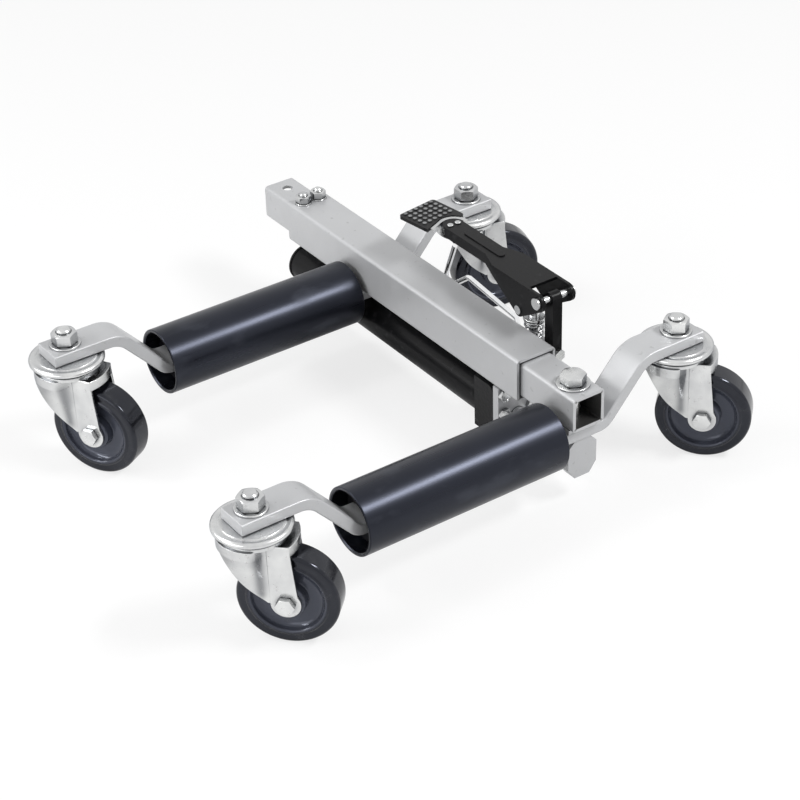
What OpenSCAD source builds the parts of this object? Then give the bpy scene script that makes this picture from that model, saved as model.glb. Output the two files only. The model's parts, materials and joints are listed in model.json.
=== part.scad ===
// Vehicle positioning jack: two rollers on bent flat-bar arms lift a tyre when a foot pump
// draws the arms together. Four swivel casters carry it.
// The left arm stands at x = 0 and the near casters at y = 0 in the working frame.

/* [Layout] */
// Gap that stays open between the sleeve and the right arm
open_gap = 41.5; // [38:0.5:90]
// Gap between the rollers and the sleeve
roller_gap = 7; // [5:0.5:14]
// Distance from the far side of the sleeve to the far swivel pins
far_reach = 110.7; // [110:0.1:150]

/* [Arms] */
// Width of the flat bar
bar_w = 38; // [34:1:42]
// Thickness of the flat bar
bar_t = 12.7; // [10:0.1:14]
// How far the middle of an arm lies below its ends
arm_drop = 57; // [54:1:58]
// Slope of the bar between its two bends
bend_angle = 48; // [44:1:52]
// Radius of the upper bends at the middle of the bar
bend_r = 30; // [26:1:34]
// Radius of the lower bends at the middle of the bar
low_bend_r = 16; // [14:1:20]
// Distance from a swivel pin to the start of the first bend
flat_len = 42; // [40:0.5:46]
// Distance from a swivel pin to the square end of the bar
bar_end = 22; // [18:1:26]

/* [Telescopic tubes] */
// Outer width of the sleeve
sleeve_w = 50; // [48:1:54]
// Wall of the sleeve
sleeve_wall = 3.5; // [3:0.5:4]
// Room between the sleeve and the inner tube, taken up by the guides
guide_room = 1.5; // [1.2:0.1:2]
// Wall of the inner tube
tube_wall = 4; // [3:0.5:5]
// How far the sleeve reaches past the middle of the left arm
sleeve_left = 130; // [120:1:135]
// Length of the sleeve
sleeve_len = 435; // [420:1:440]
// How far the inner tube stands out of the left end of the sleeve
tube_left_out = 57; // [50:1:80]
// How far the inner tube reaches past the middle of the right arm
tube_right_out = 25.5; // [22:0.5:40]
// Length of each nylon guide
guide_len = 28; // [20:1:40]
// Diameter of the pin hole near the left end of the inner tube
pin_hole_d = 12; // [10:0.5:14]

/* [Rollers] */
// Outer diameter of a roller
roller_d = 73; // [70:1:76]
// Wall of a roller
roller_wall = 4; // [3:0.5:5]
// Length of a roller
roller_len = 243; // [225:1:245]
// Distance from the near swivel pins to the open end of a roller
roller_start = 107; // [104:1:110]
// Diameter of the journals that the rollers turn on
journal_d = 48; // [47:1:52]
// Length of a roller bush
bush_len = 12; // [10:1:16]
// How deep the bushes sit inside the roller
bush_inset = 22; // [20:1:26]

/* [Casters] */
// Thickness of the crown of a fork
crown_t = 14; // [12:0.5:16]
// Diameter of a wheel
wheel_d = 101.6; // [98:0.1:102]
// Width of a wheel
wheel_w = 32; // [28:1:34]
// Radius of the shoulders of the tyre
tyre_round = 6.5; // [4:0.5:8]
// Distance from the swivel axis to the axle
trail = 33; // [28:1:36]
// Diameter of the swivel pin
pin_d = 16; // [14:1:18]
// Diameter of the upper race
race_d = 80; // [76:1:84]
// Diameter of the crown of the fork
crown_d = 72; // [68:1:74]
// Thickness of a fork leg
leg_t = 3.5; // [3:0.5:4]
// Radius of the round end of a fork leg
leg_end_r = 15; // [13:0.5:16]
// Diameter of the axle bolt
axle_d = 10; // [8:1:12]
// Swivel angle of the near left caster
lf_angle = 29.9; // [0:0.1:45]
// Swivel angle of the near right caster
rf_angle = 43.9; // [0:0.1:45]
// Swivel angle of the far right caster
rr_angle = 42.7; // [30:0.1:90]
// Swivel angle of the far left caster
lr_angle = 72; // [45:1:90]

/* [Hydraulic ram] */
// Outer diameter of the ram cylinder
ram_d = 44; // [42:1:46]
// Wall of the ram cylinder
ram_wall = 4; // [3:0.5:5]
// Length of the ram cylinder
ram_len = 366; // [350:1:370]
// Depth of the ram axis below the middle of the arms
ram_below = 34; // [33:0.5:36]
// Diameter of the rod
rod_d = 18; // [16:1:20]
// Diameter of the threaded end of the rod
rod_end_d = 14; // [12:1:15]
// Length of the piston
piston_len = 16; // [12:1:24]
// How far the arms can still close
close_travel = 35; // [20:1:36]
// Thickness of the lug under the right arm
lug_t = 16; // [12:1:18]

/* [Foot pump] */
// How far the pump block starts back from the right end of the sleeve
block_back = 74; // [68:1:78]
// Length of the pump block along the ram
block_len = 33; // [30:1:36]
// Thickness of the mount plate
plate_t = 9; // [8:0.5:10]
// Distance from the middle of the tubes to the plunger
pump_out = 42; // [41:0.5:43]
// Diameter of the plunger
plunger_d = 12; // [10:1:14]
// Outer diameter of the return spring
spring_d = 22; // [20:0.5:24]
// Thickness of the spring wire
spring_wire = 2.4; // [2:0.1:2.8]
// Number of turns of the return spring
spring_turns = 7; // [6:1:8]
// Height of the return spring
spring_h = 45; // [42:0.5:48]

/* [Pedal] */
// Height of the pedal pivot above the tower of the pump
pivot_rise = 86; // [84:1:90]
// Outer width of the lever channel
channel_w = 24; // [22:1:28]
// Wall of the lever channel and of its cheeks
lever_wall = 3.5; // [3:0.5:4]
// Outer width of the yoke
yoke_w = 42; // [38:1:42]
// Distance from the pivot to the far end of the lever channel
lever_len = 187; // [175:1:195]
// Length of the tread pad
pad_len = 50; // [44:1:56]
// Width of the tread pad
pad_w = 52; // [48:1:58]
// Thickness of the tread pad
pad_t = 4; // [3:0.5:5]
// Turn of the tread pad, seen from above
pad_turn = 8; // [0:1:12]
// Diameter of the release rod
wire_d = 6; // [5:0.5:7]

/* [Hidden] */
$fn = 64;
eps = 0.01;

// Clearances
bolt_room = 0.2;
run_fit = 0.05;
face_gap = 0.3;

// Layout
arm_spacing = sleeve_len - sleeve_left + open_gap + bar_w / 2;
tube_y = roller_start + roller_len + roller_gap + sleeve_w / 2;
caster_spacing = tube_y + sleeve_w / 2 + far_reach;

// Heights of the arms and the tubes
crown_room = 5.4;
race_t = 10;
caster_h = wheel_d + crown_room + crown_t + face_gap + race_t;
top_z = caster_h + bar_t / 2;
low_z = top_z - arm_drop;
low_top = low_z + bar_t / 2;
low_bottom = low_z - bar_t / 2;
bend_sum = bend_r + low_bend_r;
slope_len = (arm_drop - bend_sum * (1 - cos(bend_angle))) / sin(bend_angle);
bend_run = bend_sum * sin(bend_angle) + slope_len * cos(bend_angle);
low_start = flat_len + bend_run;
sleeve_z = low_top + sleeve_w / 2;
sleeve_right = sleeve_len - sleeve_left;
sleeve_near = tube_y - sleeve_w / 2;
sleeve_far = tube_y + sleeve_w / 2;
tube_w = sleeve_w - 2 * (sleeve_wall + guide_room);
tube_bottom = sleeve_z - tube_w / 2;
tube_top = sleeve_z + tube_w / 2;
tube_start = -sleeve_left - tube_left_out;
tube_end = arm_spacing + tube_right_out;
corner_r = 3.5;
pin_hole_x = tube_start + 19;
sleeve_bolt_d = 10;
sleeve_bolt_x = 12 - sleeve_left;
sleeve_bolt_y = tube_w / 4;
sleeve_washer_t = 1.5;
sleeve_nut_t = 8;
tube_bolt_d = 16;
tube_bolt_head = 10;
washer_t = 2.5;

// Rollers
roller_bore = roller_d - 2 * roller_wall;
shoulder_d = journal_d + 8;
shoulder_t = 5;
near_bush = roller_start + bush_inset;
far_bush = roller_start + roller_len - bush_inset - bush_len;
far_shoulder = far_bush + bush_len + face_gap;

// Casters
axle_z = wheel_d / 2;
race_rim_t = 6.4;
race_neck_d = crown_d - 12;
crown_bottom = wheel_d + crown_room;
crown_top = crown_bottom + crown_t;
hub_gap = 0.3;
fork_gap = wheel_w + 4;
hub_w = fork_gap - 2 * hub_gap;
hub_d = 36;
spacer_d = axle_d + 4;
bush_d = spacer_d + 6;
pin_head_d = 28;
pin_head_t = 3;
nut_h = 0.8 * pin_d;
stud_over = 3.1;

// Ram and pump
block_left = sleeve_right - block_back;
ram_z = low_z - ram_below;
ram_bore = ram_d - 2 * ram_wall;
ram_start = block_left - ram_len;
cap_rim_t = 3.6;
cap_plug_t = 6;
gland_len = 26;
piston_bolt_d = 12;
piston_nut_t = 10;
piston_start = ram_start + cap_plug_t + close_travel + 4 + piston_nut_t;
piston_end = piston_start + piston_len;
lug_left = arm_spacing + 1;
lug_w = 37;
lug_below = 18.5;
lug_cut = 9;
lug_low_cut = 12;
lug_skin = 4;
rod_nut_t = 11;
rod_shoulder = lug_left - washer_t - rod_nut_t - 1;
rod_room = 0.5;
block_right = block_left + block_len;
block_bottom = ram_z - ram_d / 2 - 2.6;
block_top = low_top - 3;
block_near = sleeve_near;
plate_right = block_right + plate_t;
pump_y = tube_y + pump_out;
tower_w = 34;
tower_near = pump_y - tower_w / 2;
tower_far = pump_y + tower_w / 2;
tower_top = low_top + 5;
tower_bottom = ram_z + 12;
plunger_x = block_left + block_len / 2;
bore_depth = 40;
cap_t = 3;
cap_d = spring_d + 2;
cap_z = tower_top + spring_h;
plunger_top = cap_z + cap_t + 10;
plunger_bottom = tower_top - 26;
spring_r = (spring_d - spring_wire) / 2;
mount_bolt_d = 8;
mount_inset = 6;
mount_low = 8.4;
mount_high = 30.4;
valve_z = tower_top - 12;
valve_y = pump_y + 7;
valve_af = 14;
valve_len = 14;
spindle_d = 8;
hub_len = 9;
hub_turn_d = 13;

// Pedal
pivot_z = tower_top + pivot_rise;
post_w = 14;
post_t = 12;
post_x = plate_right + post_w / 2;
post_bottom = tower_top - 6;
tab_top = tower_top + 30;
pivot_pin_d = 8;
lever_top = pivot_z + 10;
channel_h = 12;
yoke_left = post_x - 78;
web_right = post_x - 18;
channel_left = post_x - lever_len;
press_pin_d = 10;
press_z = plunger_top + face_gap + press_pin_d / 2;
press_r = 8;
strap_w = channel_w - 2 * lever_wall - 2;
strap_t = 3;
strap_top = lever_top - lever_wall;
pad_x = channel_left - 19;
pad_y = pump_y - 7;
pad_bump_t = 1.2;
wire_y = pump_y + 17;

// Half of the reach of a wheel in a direction that makes the angle a with its trail
function wheel_reach(a) =
    trail * cos(a)
    + (wheel_d / 2 - tyre_round) * abs(cos(a))
    + (wheel_w / 2 - tyre_round) * abs(sin(a))
    + tyre_round;
x_left = tube_start;
x_right = arm_spacing + max(wheel_reach(rf_angle), wheel_reach(rr_angle));
y_near = -race_d / 2;
y_far = caster_spacing + max(wheel_reach(90 - rr_angle), wheel_reach(90 - lr_angle));
x_mid = (x_left + x_right) / 2;
y_mid = (y_near + y_far) / 2;

// Moves the working frame so that the origin is on the floor below the middle of the part
module framed() translate([-x_mid, -y_mid, 0]) children();

// A profile drawn in the plane of y and z, given a width along x
module along_x(x0, width) translate([x0, 0, 0]) rotate([90, 0, 90]) linear_extrude(width) children();
// A profile drawn in the plane of x and z, given a width along y
module along_y(y0, width) translate([0, y0 + width, 0]) rotate([90, 0, 0]) linear_extrude(width) children();
module rod_x(x0, x1, y, z, d) translate([x0, y, z]) rotate([0, 90, 0]) cylinder(h = x1 - x0, d = d);
module rod_y(x, y0, y1, z, d) translate([x, y0, z]) rotate([-90, 0, 0]) cylinder(h = y1 - y0, d = d);
module rod_z(x, y, z0, z1, d) translate([x, y, z0]) cylinder(h = z1 - z0, d = d);
module hexagon(af) circle(d = af / cos(30), $fn = 6);

// A hexagon nut or head with its bore, standing on z = 0
module nut(af, h, bore) difference() {
    linear_extrude(h) hexagon(af);
    translate([0, 0, -1]) cylinder(h = h + 2, d = bore);
}

// A square with rounded corners, centred
module rounded_square(w, r) {
    square([w - 2 * r, w], center = true);
    square([w, w - 2 * r], center = true);
    for (sx = [-1, 1], sy = [-1, 1]) translate([sx * (w / 2 - r), sy * (w / 2 - r)]) circle(r);
}

// Points of the middle line of an arm, from its near end to the middle of its low part, with the slope
arc_steps = 8;
function half_line() = concat(
    [[-bar_end, top_z, 0]],
    [for (i = [0:arc_steps]) let (t = bend_angle * i / arc_steps)
        [flat_len + bend_r * sin(t), top_z - bend_r + bend_r * cos(t), t]],
    [for (i = [0:arc_steps]) let (t = bend_angle * (1 - i / arc_steps))
        [low_start - low_bend_r * sin(t), low_z + low_bend_r - low_bend_r * cos(t), t]]
);
function mirrored(line) = [for (i = [len(line) - 1:-1:0])
    [caster_spacing - line[i][0], line[i][1], -line[i][2]]];
arm_line = concat(half_line(), mirrored(half_line()));
function side(line, s) = [for (p = line) [p[0] + s * sin(p[2]), p[1] + s * cos(p[2])]];
function reversed(list) = [for (i = [len(list) - 1:-1:0]) list[i]];

// One flat bar, bent down at both ends so that its middle runs low through the roller
module arm(x) difference() {
    along_x(x - bar_w / 2, bar_w)
        polygon(concat(side(arm_line, bar_t / 2), reversed(side(arm_line, -bar_t / 2))));
    for (y = [0, caster_spacing])
        rod_z(x, y, top_z - bar_t, top_z + bar_t, pin_d + 2 * bolt_room);
}

module square_tube(x0, length, w, wall) difference() {
    translate([0, tube_y, sleeve_z]) along_x(x0, length) rounded_square(w, corner_r);
    translate([0, tube_y, sleeve_z]) along_x(x0 - 1, length + 2) rounded_square(w - 2 * wall, corner_r - 2);
}

module outer_sleeve() color("silver") framed() difference() {
    square_tube(-sleeve_left, sleeve_len, sleeve_w, sleeve_wall);
    for (s = [-1, 1])
        rod_z(sleeve_bolt_x, tube_y + s * sleeve_bolt_y, sleeve_z, sleeve_z + sleeve_w,
              sleeve_bolt_d + 2 * bolt_room);
}

// Nylon guides that line both mouths of the sleeve
module sleeve_guides() color("dimgray") framed()
    for (x = [-sleeve_left, sleeve_right - guide_len])
        square_tube(x, guide_len, sleeve_w - 2 * sleeve_wall, guide_room - run_fit * 2);

// Two screws in the roof of the sleeve that hold the left guide
module sleeve_bolts() color("gainsboro") framed()
    for (s = [-1, 1]) translate([sleeve_bolt_x, tube_y + s * sleeve_bolt_y, sleeve_z + sleeve_w / 2]) {
        translate([0, 0, -sleeve_wall])
            cylinder(h = sleeve_wall + sleeve_washer_t + sleeve_nut_t + stud_over, d = sleeve_bolt_d);
        ring(2 * sleeve_bolt_d, sleeve_bolt_d + 2 * run_fit, sleeve_washer_t);
        translate([0, 0, sleeve_washer_t]) nut(1.6 * sleeve_bolt_d, sleeve_nut_t, sleeve_bolt_d + 2 * run_fit);
    }

module left_arm() color("silver") framed() arm(0);

// Round journals, slotted for the bar, with a shoulder that stops the roller
module journals(x) difference() {
    union() {
        rod_y(x, near_bush - face_gap, near_bush + bush_len + 2, low_z, journal_d);
        rod_y(x, near_bush - face_gap - shoulder_t, near_bush - face_gap, low_z, shoulder_d);
        rod_y(x, far_bush - 2, far_shoulder, low_z, journal_d);
        rod_y(x, far_shoulder, far_shoulder + shoulder_t, low_z, shoulder_d);
    }
    translate([x - bar_w / 2, 0, low_bottom]) cube([bar_w, caster_spacing, bar_t]);
}

module roller(x) difference() {
    rod_y(x, roller_start, roller_start + roller_len, low_z, roller_d);
    rod_y(x, roller_start - 1, roller_start + roller_len + 1, low_z, roller_bore);
}

module bushes(x) for (y = [near_bush, far_bush]) difference() {
    rod_y(x, y, y + bush_len, low_z, roller_bore);
    rod_y(x, y - 1, y + bush_len + 1, low_z, journal_d + 2 * run_fit);
}

module left_roller_journals() color("dimgray") framed() journals(0);
module left_roller() color("darkslategray") framed() roller(0);
module left_roller_bushes() color("black") framed() bushes(0);
module right_roller_journals() color("dimgray") framed() journals(arm_spacing);
module right_roller() color("darkslategray") framed() roller(arm_spacing);
module right_roller_bushes() color("black") framed() bushes(arm_spacing);

module inner_tube() color("silver") framed() difference() {
    square_tube(tube_start, tube_end - tube_start, tube_w, tube_wall);
    rod_z(pin_hole_x, tube_y, sleeve_z, sleeve_z + tube_w, pin_hole_d);
    rod_z(pin_hole_x, tube_y, sleeve_z - tube_w, sleeve_z, pin_hole_d);
    rod_z(arm_spacing, tube_y, sleeve_z - tube_w, sleeve_z + tube_w, tube_bolt_d + 2 * bolt_room);
}

module right_arm() color("silver") framed() difference() {
    arm(arm_spacing);
    rod_z(arm_spacing, tube_y, low_z - bar_t, low_z + bar_t, tube_bolt_d + 2 * bolt_room);
}

// Fills the step between the right arm and the bottom of the inner tube
module right_packing_plate() color("silver") framed() difference() {
    translate([arm_spacing - bar_w / 2, tube_y - tube_w / 2, low_top])
        cube([bar_w, tube_w, tube_bottom - low_top]);
    rod_z(arm_spacing, tube_y, low_top - 1, tube_bottom + 1, tube_bolt_d + 2 * bolt_room);
}

// The bolt through the inner tube, screwed into the right arm, with its large washer
module tube_end_bolt() color("gainsboro") framed() translate([arm_spacing, tube_y, 0]) {
    translate([0, 0, low_bottom + face_gap])
        cylinder(h = tube_top + washer_t + eps - low_bottom - face_gap, d = tube_bolt_d);
    translate([0, 0, tube_top + washer_t]) linear_extrude(tube_bolt_head) hexagon(1.5 * tube_bolt_d);
    translate([0, 0, tube_top]) ring(2.25 * tube_bolt_d, tube_bolt_d + 2 * run_fit, washer_t);
}

module ring(d, bore, t) difference() {
    cylinder(h = t, d = d);
    translate([0, 0, -1]) cylinder(h = t + 2, d = bore);
}

// The upper race of a swivel caster, with a rolled rim
module top_race(x, y) translate([x, y, caster_h]) rotate_extrude() polygon(concat(
    [[pin_d / 2 + bolt_room, 0], [race_d / 2 - 6, 0]],
    [for (t = [0:15:90]) [race_d / 2 - 6 + 6 * sin(t), -4 + 4 * cos(t)]],
    [[race_d / 2, 1 - race_rim_t], [race_d / 2 - 1, -race_rim_t], [race_neck_d / 2, -race_rim_t],
     [race_neck_d / 2, -race_t], [pin_d / 2 + bolt_room, -race_t]]
));

// The swivel pin, with its flat head under the crown of the fork
pin_low = crown_bottom - face_gap - pin_head_t;
pin_high = top_z + bar_t / 2 + washer_t + nut_h + stud_over;
module kingpin(x, y) {
    rod_z(x, y, pin_low, pin_low + pin_head_t, pin_head_d);
    rod_z(x, y, pin_low, pin_high, pin_d);
}

module kingpin_nut(x, y) translate([x, y, top_z + bar_t / 2]) {
    ring(2.1 * pin_d, pin_d + 2 * run_fit, washer_t);
    translate([0, 0, washer_t]) nut(1.5 * pin_d, nut_h, pin_d + 2 * run_fit);
}

// Turns a caster to its angle about its swivel pin
module swivelled(x, y, angle) translate([x, y, 0]) rotate([0, 0, angle]) children();

// The flat strip of a leg, from the crown down to the round end
leg_out = fork_gap / 2 + leg_t;
strip_top = crown_top - 3;
strip_front = trail - 16;
strip_back = trail + 6;
module leg_strip() {
    translate([trail, axle_z]) circle(leg_end_r);
    polygon([[trail - leg_end_r + 1, axle_z], [trail + leg_end_r * 0.7, axle_z + leg_end_r * 0.7],
             [strip_back, strip_top], [strip_front, strip_top]]);
}

// The flared web of a leg: a thin sheet that runs from the round side of the crown in to the strip
web_rows = 11;
web_cols = 16;
web_t = 2.2;
web_out = leg_out - 0.8;
web_r = crown_d / 2 - 1;
web_front = -27.5;
web_turn = 5;
web_back = strip_front + 2;
web_cap = crown_top - 4;
web_top = crown_bottom + 2;
web_low = axle_z + 5;
web_bulge = 5;
// How far the top of the web stands out at x
function web_side(x) =
    x < web_turn ? sqrt(web_r * web_r - x * x)
    : web_out + (sqrt(web_r * web_r - web_turn * web_turn) - web_out)
      * (1 + cos(180 * (x - web_turn) / (web_back - web_turn))) / 2;
function web_point(i, k, inset) =
    let (t = max(0, i - 1) / (web_rows - 1), u = k / web_cols, x_top = web_front + (web_back - web_front) * u,
         x_low = trail - leg_end_r * (0.9 - 0.6 * u), bulge = web_bulge * sin(180 * t) * (1 - u))
    [x_top + (x_low - x_top) * t - bulge,
     web_out - inset * (i < 2 ? 2 : 1) + (web_side(x_top) - web_out) * pow(1 - t, 1.8),
     i == 0 ? web_cap : web_top + (web_low - web_top) * t];
web_grid = (web_rows + 1) * (web_cols + 1);
function web_index(i, k) = i * (web_cols + 1) + k;
web_rim = concat(
    [for (k = [0:web_cols - 1]) web_index(0, k)], [for (i = [0:web_rows - 1]) web_index(i, web_cols)],
    [for (k = [web_cols:-1:1]) web_index(web_rows, k)], [for (i = [web_rows:-1:1]) web_index(i, 0)]);
module leg_web() polyhedron(
    [for (inset = [0, web_t], i = [0:web_rows], k = [0:web_cols]) web_point(i, k, inset)],
    concat(
        [for (i = [0:web_rows - 1], k = [0:web_cols - 1])
            let (a = web_index(i, k), b = web_index(i + 1, k)) each [[a, b, b + 1], [a, b + 1, a + 1]]],
        [for (i = [0:web_rows - 1], k = [0:web_cols - 1])
            let (a = web_index(i, k) + web_grid, b = web_index(i + 1, k) + web_grid)
            each [[a, b + 1, b], [a, a + 1, b + 1]]],
        [for (n = [0:len(web_rim) - 1]) let (a = web_rim[n], b = web_rim[(n + 1) % len(web_rim)])
            each [[a, b + web_grid, a + web_grid], [a, b, b + web_grid]]]));

// The crown: round in front, with flat sides between the strips and a longer lip over the wheel
lip_reach = 45;
module crown() {
    difference() {
        translate([0, 0, crown_bottom]) rotate_extrude() polygon([
            [0, 0], [crown_d / 2 - 2, 0], [crown_d / 2, 2], [crown_d / 2, crown_t - 3],
            [crown_d / 2 - 3, crown_t], [0, crown_t]]);
        for (s = [-1, 1])
            translate([strip_front - 3, s * (leg_out + crown_d / 2) - crown_d / 2, crown_bottom - 1])
                cube([crown_d, crown_d, crown_t + 2]);
    }
    intersection() {
        translate([0, 0, crown_bottom + 3]) rotate_extrude() polygon([
            [0, 0], [lip_reach - 1, 0], [lip_reach, 1], [lip_reach, 5], [lip_reach - 3, 8], [0, 8]]);
        translate([0, -leg_out, crown_bottom]) cube([lip_reach + 1, 2 * leg_out, crown_t]);
    }
}

// The pressed fork: the crown with the lower race, and two legs
module fork() difference() {
    union() {
        crown();
        for (s = [-1, 1]) {
            along_y(s > 0 ? fork_gap / 2 : -leg_out, leg_t) leg_strip();
            mirror([0, s > 0 ? 0 : 1, 0]) leg_web();
        }
    }
    translate([0, 0, crown_bottom - 1]) cylinder(h = crown_top, d = pin_d + 2 * run_fit);
    rod_y(trail, -wheel_w * 2, wheel_w * 2, axle_z, axle_d + 2 * bolt_room);
}

// Axle bolt, nut and the spacer tube that the wheel turns on
axle_af = 1.7 * axle_d;
axle_head = 0.6 * axle_d;
module axle() {
    translate([trail, 0, axle_z]) rotate([90, 0, 0]) {
        translate([0, 0, -leg_out - 0.9 * axle_d]) cylinder(h = 2 * leg_out + 0.9 * axle_d, d = axle_d);
        translate([0, 0, leg_out]) linear_extrude(axle_head) hexagon(axle_af);
        translate([0, 0, -leg_out - 0.8 * axle_d]) nut(axle_af, 0.8 * axle_d, axle_d + 2 * run_fit);
        translate([0, 0, -fork_gap / 2]) ring(spacer_d, axle_d + 2 * run_fit, fork_gap);
    }
}

// Half section of a wheel: hub, recessed web, raised rim bead and a tyre with round shoulders
wheel_half = [for (p = concat(
    [[bush_d / 2, hub_w / 2], [hub_d / 2 - 1, hub_w / 2], [hub_d / 2, hub_w / 2 - 1],
     [hub_d / 2 + 1.5, wheel_w / 2 - 7], [0.62 * wheel_d / 2, wheel_w / 2 - 7],
     [0.7 * wheel_d / 2, wheel_w / 2 - 1], [0.74 * wheel_d / 2, wheel_w / 2 - 0.5],
     [0.78 * wheel_d / 2, wheel_w / 2 - 2]],
    [for (t = [0:15:90]) [wheel_d / 2 - tyre_round + tyre_round * sin(t),
                          wheel_w / 2 - tyre_round + tyre_round * cos(t)]])) p];
module wheel() translate([trail, 0, axle_z]) rotate([90, 0, 0]) rotate_extrude($fn = 96)
    polygon(concat(wheel_half, reversed([for (p = wheel_half) [p[0], -p[1]]])));

module wheel_bush() translate([trail, hub_w / 2, axle_z]) rotate([90, 0, 0])
    ring(bush_d, spacer_d + 2 * run_fit, hub_w);

module left_top_races() color("lightgray") framed() for (y = [0, caster_spacing]) top_race(0, y);
module left_kingpins() color("gainsboro") framed() for (y = [0, caster_spacing]) kingpin(0, y);
module left_kingpin_nuts() color("gainsboro") framed() for (y = [0, caster_spacing]) kingpin_nut(0, y);
module right_top_races() color("lightgray") framed() for (y = [0, caster_spacing]) top_race(arm_spacing, y);
module right_kingpins() color("gainsboro") framed() for (y = [0, caster_spacing]) kingpin(arm_spacing, y);
module right_kingpin_nuts() color("gainsboro") framed()
    for (y = [0, caster_spacing]) kingpin_nut(arm_spacing, y);

// Cylinder of the ram, closed by a cap on the left and by the gland on the right
module ram_cylinder() color("#1c1c1e") framed() difference() {
    rod_x(ram_start, block_left, tube_y, ram_z, ram_d);
    rod_x(ram_start - 1, block_left + 1, tube_y, ram_z, ram_bore);
}

module cylinder_end_cap() color("#1c1c1e") framed() {
    rod_x(ram_start - cap_rim_t, ram_start, tube_y, ram_z, ram_d + 2);
    rod_x(ram_start - eps, ram_start + cap_plug_t, tube_y, ram_z, ram_bore - 2 * run_fit);
}

module rod_gland() color("darkgoldenrod") framed() difference() {
    rod_x(block_left - gland_len, block_left, tube_y, ram_z, ram_bore - 2 * run_fit);
    rod_x(block_left - gland_len - 1, block_left + 1, tube_y, ram_z, rod_d + 2 * run_fit);
}

module ram_rod() color("gainsboro") framed() {
    rod_x(piston_end, rod_shoulder, tube_y, ram_z, rod_d);
    rod_x(piston_start - piston_nut_t, piston_end + eps, tube_y, ram_z, piston_bolt_d);
    rod_x(rod_shoulder - eps, lug_left + lug_t - lug_skin, tube_y, ram_z, rod_end_d);
}

module ram_piston() color("gray") framed() difference() {
    rod_x(piston_start, piston_end, tube_y, ram_z, ram_bore - 2 * run_fit);
    rod_x(piston_start - 1, piston_end + 1, tube_y, ram_z, piston_bolt_d + 2 * run_fit);
}

// The nut at the piston, and the washer and lock nut at the lug
module rod_nuts() color("gainsboro") framed() {
    translate([piston_start - piston_nut_t, tube_y, ram_z]) rotate([0, 90, 0])
        nut(1.5 * piston_bolt_d, piston_nut_t, piston_bolt_d + 2 * run_fit);
    translate([lug_left - washer_t, tube_y, ram_z]) rotate([0, 90, 0])
        ring(2 * rod_end_d, rod_end_d + 2 * run_fit, washer_t);
    translate([lug_left - washer_t - rod_nut_t, tube_y, ram_z]) rotate([0, 90, 0])
        nut(1.5 * rod_end_d, rod_nut_t, rod_end_d + 2 * run_fit);
}

// Plate with cut corners that hangs under the right arm. Its blind hole takes the end of the rod
lug_half = [[lug_w / 2 - lug_cut, low_bottom], [lug_w / 2, low_bottom - lug_cut],
            [lug_w / 2, ram_z - lug_below + lug_low_cut], [lug_w / 2 - lug_cut, ram_z - lug_below]];
module rod_lug() color("silver") framed() difference() {
    along_x(lug_left, lug_t) translate([tube_y, 0]) polygon(concat(lug_half, reversed(
        [for (p = lug_half) [-p[0], p[1]]])));
    rod_x(lug_left - 1, lug_left + lug_t - lug_skin, tube_y, ram_z, rod_end_d + 2 * run_fit);
}

mount_spots = [for (s = [-1, 1], z = [mount_low, mount_high])
    [tube_y + s * (sleeve_w / 2 - mount_inset), ram_z + z]];

// Plate across the end of the pump block: it is welded under the sleeve and carries the pump and the post
plate_r = 8;
tab_r = 6;
tab_near = tower_near + 2;
module pump_mount_plate() color("silver") framed() difference() {
    along_x(block_right, plate_t) {
        translate([sleeve_near, block_bottom + plate_r])
            square([tower_far - sleeve_near, low_top - block_bottom - plate_r]);
        translate([sleeve_near + plate_r, block_bottom]) square([sleeve_w - 2 * plate_r, plate_r + 1]);
        for (y = [sleeve_near + plate_r, sleeve_far - plate_r])
            translate([y, block_bottom + plate_r]) circle(plate_r);
        translate([tab_near, low_top - 1]) square([tower_far - tab_near, tab_top - tab_r - low_top + 1]);
        translate([tab_near + tab_r, low_top - 1])
            square([tower_far - tab_near - 2 * tab_r, tab_top - low_top + 1]);
        for (y = [tab_near + tab_r, tower_far - tab_r]) translate([y, tab_top - tab_r]) circle(tab_r);
    }
    rod_x(block_right - 1, plate_right + 1, tube_y, ram_z, rod_d + 2 * rod_room);
    for (p = mount_spots)
        rod_x(block_right - 1, plate_right + 1, p[0], p[1], mount_bolt_d + 2 * bolt_room);
    for (z = post_bolt_z)
        rod_x(block_right - 1, plate_right + 1, pump_y, z, mount_bolt_d + 2 * bolt_room);
}

// Screws that hold the pump block against the plate
mount_screw_depth = 12;
mount_head_t = 5;
module pump_mount_bolts() color("gainsboro") framed() for (p = mount_spots) {
    rod_x(block_right - mount_screw_depth, plate_right + eps, p[0], p[1], mount_bolt_d);
    translate([plate_right, p[0], p[1]]) rotate([0, 90, 0])
        linear_extrude(mount_head_t) hexagon(1.6 * mount_bolt_d);
}

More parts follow.
